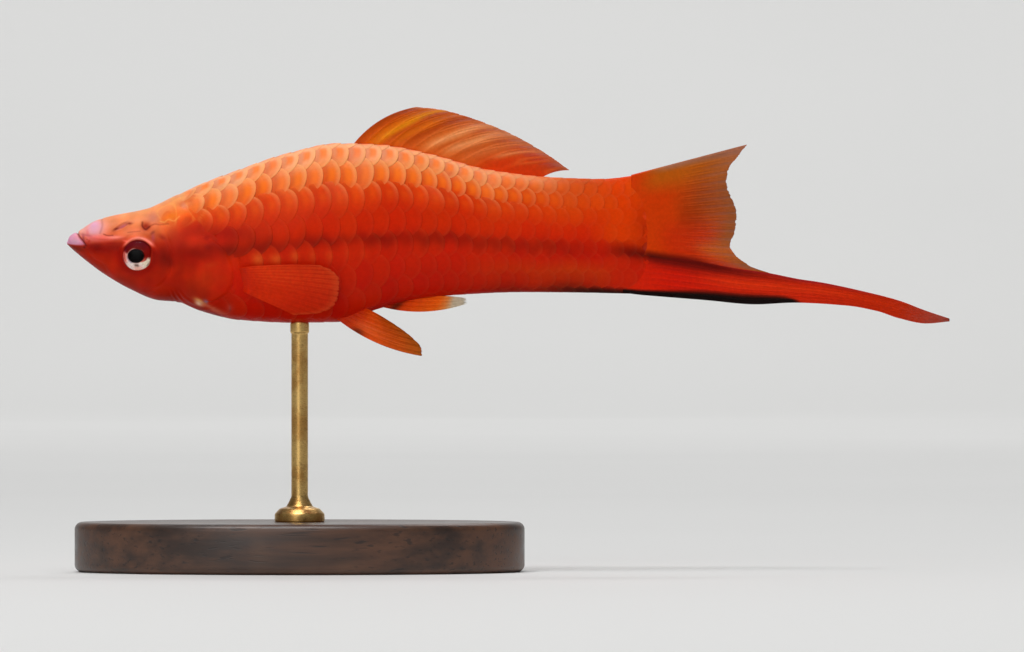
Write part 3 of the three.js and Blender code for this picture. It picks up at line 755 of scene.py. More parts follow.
def skin_stations():
    """Places of the skin's rings, closest on the head."""
    snout = 1.2 * np.linspace(0, 1, 34)[:-1] ** 1.4
    face = np.arange(1.2, 14, 0.085)
    gills = np.arange(14, 22, 0.19)
    trunk = np.linspace(22, 66, 38)
    tail = np.linspace(66, SKIN_END, 14)[1:]
    return np.concatenate([snout, face, gills, trunk, tail])


SKIN_AROUND = 352
SNOUT_BULGE = 0.14


def snout_cap(first_ring):
    """Rings that close the snout in front of the skin's first ring."""
    middle = np.array([0, 0, (back(0) + belly(0)) / 2])
    rings = []
    for t in np.linspace(0, math.pi / 2, 8)[-2:0:-1]:
        ring = middle + (first_ring - middle) * math.cos(t)
        ring[:, 0] = -SNOUT_BULGE * math.sin(t)
        rings.append(ring)
    return np.array(rings)


def make_skin(material):
    """One skin over all the nodes of flesh, from the snout into the root of the tail fin."""
    s = skin_stations()
    w = np.linspace(-1, 1, SKIN_AROUND + 1)[:-1]
    points = body_point(s[:, None], w[None, :])
    points = np.concatenate([snout_cap(points[0]), points])
    along = np.gradient(points, axis=0)
    around = np.roll(points, -1, axis=1) - np.roll(points, 1, axis=1)
    normals = unit(np.cross(along, around))
    place_s = points[..., 0]
    place_h = points[..., 2]
    relief = head_relief(place_s, place_h) * smooth(30, 24, place_s)
    coat = scaled_share(place_s, place_h)
    fine = points + normals * (relief - COAT * coat * smooth(SKIN_END, 69, place_s))[..., None]
    fine = seat_eyes(fine)

    rows = len(fine)
    flat = fine.reshape(-1, 3)
    ends = np.array([fine[0].mean(0) - [0.02, 0, 0], fine[-1].mean(0)])
    flat = np.vstack([flat, ends])
    faces = [grid_faces(rows, SKIN_AROUND, closed=True)]
    ring = np.arange(SKIN_AROUND)
    after = (ring + 1) % SKIN_AROUND
    nose = np.stack([after, ring, np.full(SKIN_AROUND, len(flat) - 2)], -1)
    last = (rows - 1) * SKIN_AROUND
    tail = np.stack([ring + last, after + last, np.full(SKIN_AROUND, len(flat) - 1)], -1)
    faces += [nose, tail]
    base = np.vstack([points.reshape(-1, 3), ends])
    tone = linear(body_colour(base[:, 0], base[:, 2]))
    skin = mesh_object("skin", frame_points(flat), faces_outwards(flat, faces), {"tone": tone})
    finish_piece(
        skin, material, "skin",
        "head", "upper_lip", "lower_lip", "lower_jaw", "gill_cover_left", "gill_cover_right",
        "torso", "tail_stalk",
    )


# The scales


def scale_places():
    """(row, s of the rear tip, w of the middle) of every scale."""
    fine = np.linspace(FIRST_REAR, SKIN_END, 2000)
    passed = np.concatenate([[0], np.cumsum(np.diff(fine) / pitch((fine[1:] + fine[:-1]) / 2))])
    passed = passed - np.interp(PITCH_ANCHOR, fine, passed)
    places = []
    for row in range(BELLY_ROW, SCALE_ROWS + 1):
        staggered = abs(row) % 2 == 0
        w = 0.0 if row == 0 else math.copysign(ROW_START + ROW_STEP * abs(row), row)
        if row == BELLY_ROW:
            w = 1.0
        first = math.ceil(passed[0]) + 0.5 * staggered
        for count in np.arange(first, passed[-1], 1):
            rear = np.interp(count, passed, fine)
            middle = np.array(rear - 0.9 * pitch(rear))
            behind = line_distance(middle, body_point(middle, w)[2], SCALE_LINE)
            if behind > -0.6 and rear < LAST_REAR:
                places.append((row, rear, w))
    return places


def lay_plates(places):
    """Every plate's grid on the outline's skin, with the measures that it comes from."""
    lay = SimpleNamespace(count=len(places))
    lay.a = np.sin(np.linspace(-1, 1, PLATE_ACROSS + 1) * math.pi / 2)[None, None, :]
    b = (1 - (1 - np.linspace(0, 1, PLATE_ALONG + 1)) ** 1.25)[None, :, None]
    lay.rear_s = np.array([p[1] for p in places])[:, None, None]
    lay.middle_w = np.array([p[2] for p in places])[:, None, None]
    lay.chance = rng.random(lay.count)[:, None, None]
    lay.jitter = rng.normal(0, 1, (5, lay.count, 1, 1))
    step = pitch(lay.rear_s)
    between = half_girth(lay.rear_s - step) * ROW_STEP
    y = lay.a * (PLATE_HALF_HEIGHT * between * (1 + 0.025 * lay.jitter[0]))
    bow = PLATE_ROUND * step * (1 - np.sqrt(np.clip(1 - lay.a**2, 0, 1)))
    lay.front = PLATE_LENGTH * step
    lay.ahead = lerp(lay.front, bow, b)
    lay.edge = np.minimum(lay.ahead - bow, 9)
    turn = 0.03 * lay.jitter[1]
    lay.s = lay.rear_s - lay.ahead + turn * y + 0.04 * lay.jitter[2]
    across = y - turn * (lay.ahead - step) + 0.03 * lay.jitter[3]
    lay.w = lay.middle_w + across / half_girth(lay.s)
    lay.base = body_point(lay.s, lay.w)
    lay.root_s = lay.rear_s - 0.6 * step
    lay.root_h = body_point(lay.root_s, lay.middle_w + 0 * lay.root_s)[..., 2]
    return lay


def plate_boldness(lay):
    """How far the plates stand up: most on the back behind the head, least low and rearward."""
    s = lay.root_s
    share = depth_share(s, lay.root_h)
    bold = lerp(0.3, 1, smooth(0.36, 0.14, share)) * lerp(1, 0.5, smooth(44, 62, s))
    return bold * lerp(1, 0.5, smooth(63, 70, s)) * lerp(0.5, 1, smooth(17, 22, s))


def plate_points(lay, loop):
    """Points of the closed plates: the upper grid, the under rim and a point in its middle."""
    bold = plate_boldness(lay)
    rise = np.sin(np.clip(lay.ahead / lay.front, 0, 1) * math.pi)
    dome = PLATE_DOME * (1 - lay.a**2) * rise
    tilt = PLATE_TILT * (1 + 0.12 * lay.jitter[4]) * bold
    lift = -0.005 - tilt * lay.ahead + dome * bold - 0.018 * hump(lay.edge, 0.12)
    thin = lerp(1, 0.2, smooth(64, 71, lay.s))
    lift = (COAT + lift) * thin - COAT * smooth(SKIN_END, 69, lay.s)
    normal = body_normal(lay.s, lay.w)
    top = lay.base + normal * lift[..., None]
    under = lay.base + normal * (lift - PLATE_THICKNESS * bold)[..., None]
    under_loop = under.reshape(lay.count, -1, 3)[:, loop]
    centre = under_loop.mean(1, keepdims=True)
    return np.concatenate([top.reshape(lay.count, -1, 3), under_loop, centre], 1)


def plate_faces(points, loop, rows, columns):
    """Faces of all the plates: the grid, a skirt round it and a fan under it."""
    first = rows * columns
    k = np.arange(len(loop))
    after = (k + 1) % len(loop)
    skirt = np.stack([loop[after], loop[k], first + k, first + after], -1)
    bottom = np.stack([first + after, first + k, np.full(len(loop), first + len(loop))], -1)
    one = [grid_faces(rows, columns), skirt, bottom]
    one = faces_outwards(points[0], one)
    starts = (np.arange(len(points)) * points.shape[1])[:, None, None]
    return [(group[None] + starts).reshape(-1, group.shape[1]) for group in one]


def make_scales(name, places, material):
    """Overlapping plates, each a closed solid with its front sunk in the skin."""
    rows = PLATE_ALONG + 1
    columns = PLATE_ACROSS + 1
    loop = border(rows, columns)
    lay = lay_plates(places)
    points = plate_points(lay, loop)
    faces = plate_faces(points, loop, rows, columns)

    def spread(values):
        """Values on a plate's grid, carried to its rim and the point under it."""
        flat = np.broadcast_to(values, (lay.count, rows, columns)).reshape(lay.count, -1)
        return np.concatenate([flat, flat[:, loop], flat[:, :1]], 1).ravel()

    s = lay.s
    h = lay.base[..., 2]
    tone = linear(body_colour(lerp(s, lay.root_s, 0.15), lerp(h, lay.root_h, 0.15)))
    attributes = {
        "tone": np.stack([spread(tone[..., c]) for c in range(3)], -1),
        "rear": spread(lay.edge),
        "across": spread(np.abs(lay.a)),
        "chance": spread(lay.chance),
        "depth": spread(np.clip(depth_share(s, h), 0, 1)),
        "along": spread(s),
        "settled": spread(smooth(-0.3, 1.9, line_distance(s, h, SCALE_LINE))),
    }
    piece = mesh_object(name, frame_points(points.reshape(-1, 3)), faces, attributes)

    unwrap = piece.data.uv_layers.new(name="OFBake")
    half_patch = BAKE_PATCH / 2
    spare = 1 - 2 * BAKE_MARGIN
    along = (lay.rear_s - FIRST_REAR) / (SKIN_END - FIRST_REAR)
    around = np.mod(lay.middle_w + 1, 2) / 2
    u = BAKE_MARGIN + spare * along - half_patch * (lay.ahead / lay.front)
    v = BAKE_MARGIN + spare * around + half_patch * lay.a
    uv = np.stack([spread(u), spread(v)], -1)
    corner = np.empty(len(piece.data.loops), np.int32)
    piece.data.loops.foreach_get("vertex_index", corner)
    unwrap.data.foreach_set("uv", uv[corner].astype(np.float32).ravel())
    finish_piece(piece, material, "skin")


# Fins


def fan(root, edge, first_bow, last_bow):
    """(s, h) on a fan of rays, from the root line at u 0 to the free edge at u 1."""
    edge_s = profile([(v, s) for v, s, _ in edge])
    edge_h = profile([(v, h) for v, _, h in edge])

    def at(u, v):
        s0, h0 = root(v)
        s1, h1 = edge_s(v), edge_h(v)
        lift = 4 * u * (1 - u) * lerp(first_bow, last_bow, v)
        return s0 + (s1 - s0) * u - (h1 - h0) * lift, h0 + (h1 - h0) * u + (s1 - s0) * lift

    return at


ROOT_SINK = 0.9  # depth of a fin's root under the outline of the back or belly

DORSAL_EDGE = [
    (0, 41.8, 16.1), (0.12, 44.4, 15.85), (0.28, 47.1, 15.2), (0.57, 52.5, 13.2),
    (0.86, 57.4, 10.5), (1, 60.2, 8.5),
]
CAUDAL_EDGE = [
    (0, 81.6, 11.65), (0.07, 80.4, 10.1), (0.15, 79.4, 8.8), (0.25, 79.1, 7.2), (0.55, 80.3, 3.2),
    (0.68, 80.1, 1.2), (0.8, 79.5, -0.5), (0.9, 80.3, -1.8), (0.96, 82, -3), (1, 86, -4.4),
]
PECTORAL_EDGE = [
    (0, 30.4, -2.95), (0.12, 31.9, -3.6), (0.3, 32.7, -4.8), (0.5, 32.6, -6.4), (0.68, 32, -7.8),
    (0.84, 30.1, -8.7), (1, 27.2, -8.9),
]
PELVIC_EDGE = [
    (0, 42.5, -13.8), (0.2, 42.4, -12.9), (0.5, 41.2, -11.5), (0.8, 39.1, -9.95), (1, 37.9, -9.2),
]
ANAL_EDGE = [(0, 47.9, -7.5), (1, 47.8, -6.85)]
SWORD_TOP = [
    (66.6, -1), (68.6, -1.3), (73.4, -2.05), (80.4, -3.3), (84, -3.8), (87.8, -4.55), (90.5, -4.95),
    (95.5, -6), (99.8, -7.1), (103, -8.3), (106, -9.3),
]
SWORD_BOTTOM = [
    (66.6, -6.2), (68.6, -6.45), (71.6, -6.7), (76.6, -7.1), (82.6, -7.6), (87.2, -7.4),
    (93.6, -7.75), (97.4, -8.45), (99.8, -9.25), (103.2, -9.9), (106, -9.65),
]


def ray_ridges(u, v, rays, splits):
    """How near a place is to a ray, from 0 to 1. Rays fork twice on their way out."""
    place = v * (rays - 1)
    off = place - np.round(place)
    first = 0.17 * smooth(splits[0], splits[0] + 0.3, u)
    second = 0.08 * smooth(splits[1], splits[1] + 0.25, u)
    width = lerp(0.17, 0.065, smooth(0, 0.9, u))
    ridge = np.zeros(off.shape)
    for a in (-1, 1):
        for b in (-1, 1):
            ridge = np.maximum(ridge, hump(off - a * first - b * second, width))
    return ridge


def make_fin(name, node, rays, centre, colour, material, slot, size=(56, 24), membrane=0.16,
             relief=0.11, root_extra=0.12, notch=0.03, splits=(0.34, 0.66), taper=0.55,
             plain_root=0, root_reach=0.25):
    """A closed sheet with raised, forked rays. centre(u, v) gives (s, y, h), and colour(u, v)
    gives what shows and how clear it is."""
    rows = size[0] + 1
    columns = size[1] * (rays - 1) + 1
    u = np.linspace(0, 1, rows)[:, None]
    v = np.linspace(0, 1, columns)[None, :]
    end = ray_ridges(np.ones_like(v), v, rays, splits)
    jag = rng.uniform(0.6, 1.4, rays * 4)
    ragged = notch * (1 - end) * jag[np.minimum((v * rays * 4).astype(int), rays * 4 - 1)]
    reach = u * (1 - ragged * smooth(0.7, 1, u))
    v = v + 0 * u
    ridge = ray_ridges(reach, v, rays, splits)
    s, y, h = centre(reach, v)
    length = np.hypot(np.diff(s, axis=0), np.diff(h, axis=0))
    run = np.vstack([np.zeros((1, columns)), np.cumsum(length, 0)])
    raised = relief * ridge * smooth(plain_root - 0.01, plain_root + 0.2, reach)
    half = (membrane / 2 + raised) * (1 - taper * reach**1.5)
    half = half + root_extra * smooth(root_reach, 0, reach)
    from_side = np.minimum(v, 1 - v) * (rays - 1)
    half = half * lerp(0.6, 1, smooth(0, 0.25, from_side))
    tones, clear = colour(reach, v, ridge)
    grids = [np.stack([s, y + side * half, h], -1).reshape(-1, 3) for side in (LEFT, RIGHT)]
    points = np.vstack(grids)
    per_side = rows * columns
    loop = border(rows, columns)
    after = np.roll(loop, -1)
    faces = [
        grid_faces(rows, columns),
        grid_faces(rows, columns, per_side)[:, ::-1],
        np.stack([after, loop, loop + per_side, after + per_side], -1),
    ]
    faces = faces_outwards(points, faces)
    attributes = {"tone": np.tile(linear(tones).reshape(-1, 3), (2, 1))}
    for key, values in (("ray", ridge), ("run", run), ("clear", clear)):
        attributes[key] = np.tile(values.ravel(), 2)
    piece = mesh_object(name, frame_points(points), faces, attributes)
    finish_piece(piece, material, slot, node)


def dorsal_centre(u, v):
    root_s = profile([(0, 33.7), (0.57, 43.3), (0.87, 49), (1, 56)])
    s, h = fan(lambda v: (root_s(v), back(root_s(v)) - ROOT_SINK), DORSAL_EDGE, 0.105, 0.1)(u, v)
    wave = 0.35 * np.sin(v * 5.2 + 0.6) * u**1.6
    return s, wave, h


def dorsal_colour(u, v, ridge):
    ground = stops(v + 0.012 * np.sin(9 * u), [
        (0, 176, 66, 6), (0.06, 208, 80, 2), (0.13, 228, 112, 6),
        (0.18, 240, 146, 14), (0.23, 200, 78, 2), (0.3, 224, 106, 8),
        (0.36, 190, 70, 4), (0.44, 222, 104, 36), (0.5, 250, 160, 96),
        (0.56, 208, 90, 26), (0.62, 248, 154, 92), (0.7, 210, 92, 30),
        (0.77, 226, 108, 48), (0.83, 214, 76, 16), (0.87, 222, 72, 14),
        (0.93, 218, 62, 8), (1, 196, 66, 16),
    ])
    ground = paint(
        ground,
        ((216, 92, 20), 0.7 * smooth(0.32, 0.08, u) * smooth(0.08, 0.2, v)),
        ((222, 56, 0), 0.85 * smooth(0.8, 0.9, v) * smooth(0.62, 0.35, u)),
        ((250, 142, 84), 0.7 * hump(v - 0.845, 0.018) * smooth(0.25, 0.5, u)),
        ((160, 30, 4), 0.45 * smooth(0.14, 0.02, u)),
        # painted highlight on the rays in the middle of the fin
        ((246, 152, 98), 0.25 * ridge * smooth(0.2, 0.5, u) * smooth(0.3, 0.5, v)),
        ((252, 168, 104), 0.5 * smooth(0.86, 1, u) * smooth(0.3, 0.1, v)),
        ((206, 128, 84), 0.45 * smooth(0.75, 1, u) * smooth(0.3, 0.5, v)),
    )
    clear = 0.04 + 0.34 * smooth(0.5, 1, u)
    return ground, clear * (1 - 0.75 * ridge)


def caudal_centre(u, v):
    s, h = fan(lambda v: (67.6 + 0 * v, lerp(7.95, -1.5, v)), CAUDAL_EDGE, 0, -0.01)(u, v)
    wave = 0.4 * np.sin(v * 4.4 + 1) * u**2 * (1 - v**2)
    return s, wave, h


def caudal_colour(u, v, ridge):
    ground = stops(u, [
        (0, 214, 58, 0), (0.36, 212, 58, 0), (0.5, 206, 62, 0),
        (0.64, 206, 68, 2), (0.8, 190, 76, 8), (1, 158, 84, 24),
    ])
    top = smooth(0.34, 0.1, v)
    deep = hump(v - 0.58, 0.2) * smooth(0.38, 0.52, u) * smooth(0.78, 0.6, u)
    tip = smooth(0.25, 0, v) * smooth(0.7, 1, u)
    low = smooth(0.5, 0.75, v) * smooth(0.2, 0.45, u) * smooth(0.95, 0.7, u)
    glow = hump(v - 0.86, 0.08) * smooth(0.55, 0.8, u)
    under = smooth(0.9, 0.99, v) * smooth(0.02, 0.15, u) * smooth(0.75, 0.45, u)
    ground = paint(
        ground,
        ((192, 96, 12), 0.85 * top * smooth(0, 0.3, u)),
        ((150, 36, 0), 0.5 * deep),
        ((170, 112, 92), 0.85 * smooth(0.08, 0.01, v) * smooth(0.1, 0.35, u)),
        ((196, 120, 88), 0.7 * tip),
        ((206, 40, 4), 0.7 * low),
        ((216, 104, 24), 0.7 * glow),
        ((140, 62, 12), 0.5 * spot(u, v, 0.72, 0.4, 0.2, 0.2)),
        ((72, 8, 4), 0.85 * under),
        ((244, 120, 50), 0.07 * ridge * smooth(0.3, 0.5, u)),
    )
    clear = 0.02 + 0.26 * smooth(0.5, 1, u)
    return ground, clear * (1 - 0.7 * ridge) * smooth(0.05, 0.25, u)


def sword_centre(u, v):
    s = lerp(SWORD_TOP[0][0], TOTAL_LENGTH, u)
    return s, 0 * s, lerp(profile(SWORD_TOP)(s), profile(SWORD_BOTTOM)(s), v)


SWORD_BAND = [
    (66, -1.2), (68.6, -1.5), (71, -2), (73.4, -2.35), (76, -2.75), (81, -3.8), (88, -4.9),
]
SWORD_BAND_WIDTH = [(64, 0.5), (70, 0.85), (75, 0.95), (80, 0.6), (88, 0.25)]
SWORD_BAND_AMOUNT = [(66, 0.9), (77, 1), (80, 0.75), (84, 0.4), (90, 0)]
SWORD_EDGE_WIDTH = [(64, 0.3), (70, 0.5), (76, 0.8), (82, 0.9), (85, 0.7), (87.4, 0.3), (88.4, 0.02)]


def sword_colour(u, v, ridge):
    """Red, with a dark band near the top and a black lower edge that ends before the tip."""
    s, _, h = sword_centre(u, v)
    ground = stops(s, [
        (66.6, 218, 36, 4), (73, 212, 26, 4), (80, 210, 36, 6), (92, 206, 40, 6),
        (100, 202, 46, 8), (106, 192, 62, 14),
    ])
    from_top = profile(SWORD_TOP)(s) - h
    from_low = h - profile(SWORD_BOTTOM)(s)
    band = hump(h - profile(SWORD_BAND)(s), profile(SWORD_BAND_WIDTH)(s))
    edge = smooth(1.75, 0.65, from_low / profile(SWORD_EDGE_WIDTH)(s)) * smooth(88.4, 87, s)
    ground = paint(
        ground,
        ((238, 62, 14), 0.5 * hump(v - 0.42, 0.16) * smooth(74, 80, s) * smooth(104, 92, s)),
        ((150, 34, 50), 0.6 * smooth(0.5, 0.1, from_top) * smooth(76, 84, s) * smooth(102, 90, s)),
        ((74, 6, 3), 0.82 * profile(SWORD_BAND_AMOUNT)(s) * band),
        ((14, 5, 4), 0.98 * edge),
    )
    return ground, (0.02 + 0.3 * smooth(98, 106, s)) * (1 - 0.6 * ridge)


def belly_root(front, rear):
    """A fin's root line along the belly, sunk under the skin."""

    def at(v):
        s = lerp(front, rear, v)
        return s, belly(s) + ROOT_SINK

    return at


def anal_centre(u, v):
    s, h = fan(belly_root(36.4, 39.2), ANAL_EDGE, -0.085, 0.03)(u, v)
    return s, 0 * s, h


def anal_colour(u, v, ridge):
    ground = stops(u, [
        (0, 196, 34, 4), (0.3, 240, 72, 8), (0.66, 255, 110, 18),
        (0.76, 244, 150, 76), (0.84, 226, 206, 176), (1, 244, 234, 212),
    ])
    ground = paint(ground, ((70, 20, 10), 0.7 * spot(u, v, 0.22, 0.2, 0.05, 0.4)))
    return ground, 0.2 * smooth(0.8, 1, u) * (1 - 0.8 * ridge)


def pelvic_centre(side):
    ray = fan(belly_root(31.7, 35.4), PELVIC_EDGE, -0.07, 0.02)

    def centre(u, v):
        s, h = ray(u, v)
        return s, side * (1.3 + 2.3 * u) + 0 * s, h

    return centre


def pelvic_colour(u, v, ridge):
    ground = stops(u, [
        (0, 206, 38, 4), (0.35, 224, 70, 4), (0.8, 206, 84, 8),
        (1, 180, 92, 14),
    ])
    ground = paint(
        ground,
        ((250, 118, 50), 0.25 * ridge * smooth(0.1, 0.3, u)),
        ((246, 130, 90), 0.3 * spot(u, v, 0.32, 0.3, 0.2, 0.16)),
        ((90, 30, 10), 0.75 * spot(u, v, 0.3, 0.05, 0.07, 0.1)),
    )
    clear = 0.04 + 0.24 * smooth(0.45, 1, u)
    return ground, clear * (1 - 0.7 * ridge)


def pectoral_centre(side):
    ray = fan(lambda v: (lerp(20.2, 20.9, v), lerp(-3.3, -6, v)), PECTORAL_EDGE, 0.02, 0)

    def centre(u, v):
        s, h = ray(u, v)
        stand_off = 0.8 * smooth(0, 0.14, u) - 0.45 * smooth(0.14, 0, u) + 0.9 * u**1.4
        return s, side * (side_of_body(s, h) + stand_off), h

    return centre


def pectoral_colour(u, v, ridge):
    ground = stops(u, [
        (0, 210, 34, 4), (0.3, 226, 46, 4), (0.7, 220, 40, 4),
        (0.9, 214, 42, 8), (1, 222, 70, 34),
    ])
    lit = smooth(0.05, 0.3, u) * smooth(0.75, 0.25, v)
    ground = paint(ground, ((246, 92, 36), ridge * (0.06 + 0.2 * lit) + 0.14 * lit))
    clear = 0.03 + 0.1 * smooth(0.4, 1, u)
    return ground, clear * (1 - 0.75 * ridge)


# Eyes


def lathe_object(name, side, rings, offsets, tall, tones, extra=None):
    """A turned surface round the eye's axis. rings are (radius, height) pairs from the middle
    of the front. Each ring's middle is carried forwards by its offset and down by less, and it
    is flattened from top to bottom by its share in tall."""
    middle, out, forwards, up = eye_axes(side)
    count = 120
    angle = full_turn(count)
    radius = np.array([r for r, _ in rings])[:, None]
    height = np.array([z for _, z in rings])[:, None]
    ahead = -np.sin(angle) * radius + np.array(offsets)[:, None]
    high = np.cos(angle) * radius * np.array(tall)[:, None] - 0.7 * np.array(offsets)[:, None]
    points = middle + out * height[..., None] + forwards * ahead[..., None] + up * high[..., None]
    flat = points.reshape(-1, 3)
    faces = faces_outwards(flat, [grid_faces(len(rings), count, closed=True)])
    turned, reach = np.broadcast_arrays(angle, radius)
    attributes = {"tone": linear(tones(turned, reach)).reshape(-1, 3)}
    for key, values in (extra or {}).items():
        attributes[key] = values(turned, reach).ravel()
    return mesh_object(name, frame_points(flat), faces, attributes)


def arc_share(angle, start, end, soft):
    """1 between two angles in degrees, counted from the top towards the tail."""
    degrees = np.mod(np.degrees(angle), 360)
    return smooth(start - soft, start + soft, degrees) * smooth(end + soft, end - soft, degrees)


def iris_silver(angle, radius):
    degrees = np.mod(np.degrees(angle), 360)
    inner = PUPIL_RADIUS + 0.3 * smooth(158, 112, degrees)
    outer = 1.82 - 0.1 * arc_share(angle, 215, 320, 20)
    between = smooth(outer + 0.04, outer - 0.04, radius) * smooth(inner - 0.02, inner + 0.08, radius)
    return arc_share(angle, 103, 287, 9) * between


def pupil_share(_, radius):
    return smooth(PUPIL_RADIUS + 0.02, PUPIL_RADIUS - 0.02, radius)


def iris_tones(angle, radius):
    flat = np.zeros(radius.shape + (3,))
    out = smooth(1.0, 1.6, radius)
    left = arc_share(angle, 240, 300, 18)
    metal = paint(
        flat + shade(255, 232, 224),
        ((255, 238, 212), arc_share(angle, 100, 150, 16)),
        ((255, 186, 166), 0.9 * arc_share(angle, 160, 192, 12) * smooth(1.25, 1.6, radius)),
        ((252, 170, 158), left),
        ((220, 92, 76), 0.9 * left * smooth(1.32, 1.5, radius)),
    )
    colour = paint(
        flat + lerp(shade(120, 16, 4), shade(100, 4, 22), out[..., None]),
        ((142, 12, 4), arc_share(angle, 48, 150, 20)),
        ((224, 104, 84), arc_share(angle, 108, 160, 12) * smooth(1.5, 1.1, radius)),
        ((180, 44, 46), 0.35 * (smooth(0.1, 0.9, np.cos(angle)) * smooth(1.36, 1.74, radius))),
    )
    colour = tint(colour, metal, iris_silver(angle, radius))
    rim = smooth(1.74, 1.82, radius)
    low_rim = arc_share(angle, 80, 300, 12)

    def ring(place, width, start, end, soft):
        """A soft arc at a distance from the middle, between two angles."""
        return hump(radius - place, width) * arc_share(angle, start, end, soft)

    return paint(
        colour,
        # painted highlight along the pupil's edge, from below round its front to the top
        ((240, 206, 196), 0.8 * ring(PUPIL_RADIUS + 0.06, 0.05, 180, 352, 8)),
        ((176, 160, 190), 0.7 * ring(PUPIL_RADIUS + 0.1, 0.07, 205, 262, 12)),
        ((96, 66, 52), 0.85 * ring(1.28, 0.13, 168, 190, 7)),
        ((90, 50, 36), 0.6 * ring(1.72, 0.06, 112, 138, 5)),
        ((190, 96, 78), 0.6 * rim * low_rim),
        # painted shade on the top of the ball's rim, under the upper lid
        ((90, 4, 22), 0.7 * rim * (1 - low_rim)),
        ((5, 3, 4), pupil_share(angle, radius)),
    )


def make_eye(side, name, ball_material, cornea_material):
    edge = PUPIL_RADIUS
    lens = [(r, 0.47 - 0.12 * (r / edge) ** 2) for r in np.linspace(0.001, edge - 0.05, 14)]
    iris = [(edge - 0.02, 0.31), (edge, 0.3), (edge + 0.03, 0.34), (edge + 0.07, 0.36)]
    iris += [(r, lerp(0.35, 0.14, (r - 1.04) / 0.7)) for r in np.linspace(1.04, 1.74, 18)]
    rear = []
    for t in np.linspace(0, math.pi / 2, 12):
        rear.append((max(0.001, EYE_RADIUS * math.cos(t)), 0.02 - (EYE_REAR + 0.02) * math.sin(t)))
    rings = lens + iris + [(1.79, 0.09)] + rear
    inner = [float(smooth(1.7, edge, r)) if z > 0.05 else 0 for r, z in rings]
    ball = lathe_object(
        "eye_" + name + "_ball", side, rings,
        [PUPIL_FORWARD * share for share in inner],
        [lerp(1, PUPIL_TALL, share) for share in inner],
        iris_tones, {"silver": iris_silver, "pupil": pupil_share},
    )
    finish_piece(ball, ball_material, "eye", "eye_" + name)
    dome = []
    for t in np.linspace(0.001, math.pi / 2, 22):
        dome.append((EYE_RADIUS * 0.985 * math.sin(t), (EYE_FRONT + 0.06) * math.cos(t) - 0.06))
    cornea = lathe_object(
        "eye_" + name + "_cornea", side, dome, [0] * len(dome), [1] * len(dome),
        lambda _, radius: np.ones(radius.shape + (3,)),
    )
    finish_piece(cornea, cornea_material, "eye")


# Materials


class Shader:
    """A material's nodes, built by short calls that take sockets or plain values."""

    def __init__(self, name):
        self.material = bpy.data.materials.new(name)
        self.material.use_nodes = True
        self.tree = self.material.node_tree
        self.tree.nodes.clear()

    def node(self, kind, inputs=None, **settings):
        made = self.tree.nodes.new(kind)
        for key, value in settings.items():
            setattr(made, key, value)
        for key, value in (inputs or {}).items():
            if isinstance(value, bpy.types.NodeSocket):
                self.tree.links.new(value, made.inputs[key])
            else:
                made.inputs[key].default_value = value
        return made

    def colour_of(self, name):
        return self.node("ShaderNodeAttribute", attribute_name=name).outputs["Color"]

    def values_of(self, *names):
        nodes = [self.node("ShaderNodeAttribute", attribute_name=name) for name in names]
        return [made.outputs["Fac"] for made in nodes]

    def place(self, scale=(1, 1, 1)):
        coordinates = self.node("ShaderNodeTexCoord").outputs["Object"]
        return self.node("ShaderNodeMapping", {"Vector": coordinates, "Scale": scale}).outputs["Vector"]

    def noise(self, per_metre, detail=3, roughness=0.55, scale=(1, 1, 1)):
        inputs = {
            "Vector": self.place(scale), "Scale": per_metre, "Detail": detail, "Roughness": roughness,
        }
        return self.node("ShaderNodeTexNoise", inputs).outputs["Fac"]

    def cells(self, per_metre):
        inputs = {"Vector": self.place(), "Scale": per_metre}
        return self.node("ShaderNodeTexVoronoi", inputs).outputs["Distance"]

    def math(self, operation, a, b=0.0):
        return self.node("ShaderNodeMath", {0: a, 1: b}, operation=operation).outputs[0]

    def plus(self, a, b):
        return self.math("ADD", a, b)

    def times(self, a, b):
        return self.math("MULTIPLY", a, b)

    def span(self, value, low, high, to_low=0.0, to_high=1.0):
        """A value moved softly from one range to another, and kept within it."""
        inputs = {"Value": value, 1: low, 2: high, 3: to_low, 4: to_high}
        return self.node("ShaderNodeMapRange", inputs, interpolation_type="SMOOTHSTEP").outputs[0]

    def mix(self, amount, a, b, blend="MIX"):
        inputs = {0: amount, 6: a, 7: b}
        return self.node("ShaderNodeMix", inputs, data_type="RGBA", blend_type=blend).outputs[2]

    def adjust(self, colour, hue=0.5, value=1.0):
        inputs = {"Color": colour, "Hue": hue, "Value": value}
        return self.node("ShaderNodeHueSaturation", inputs).outputs[0]

    def bump(self, height, distance, strength, normal=None):
        inputs = {"Height": height, "Distance": distance, "Strength": strength}
        if normal is not None:
            inputs["Normal"] = normal
        return self.node("ShaderNodeBump", inputs).outputs[0]

    def finish(self, shader):
        output = self.node("ShaderNodeOutputMaterial")
        self.tree.links.new(shader, output.inputs["Surface"])
        return self.material

    def principled(self, inputs):
        return self.node("ShaderNodeBsdfPrincipled", inputs).outputs[0]


def rgb(*values):
    return (*linear(shade(*values)), 1.0)


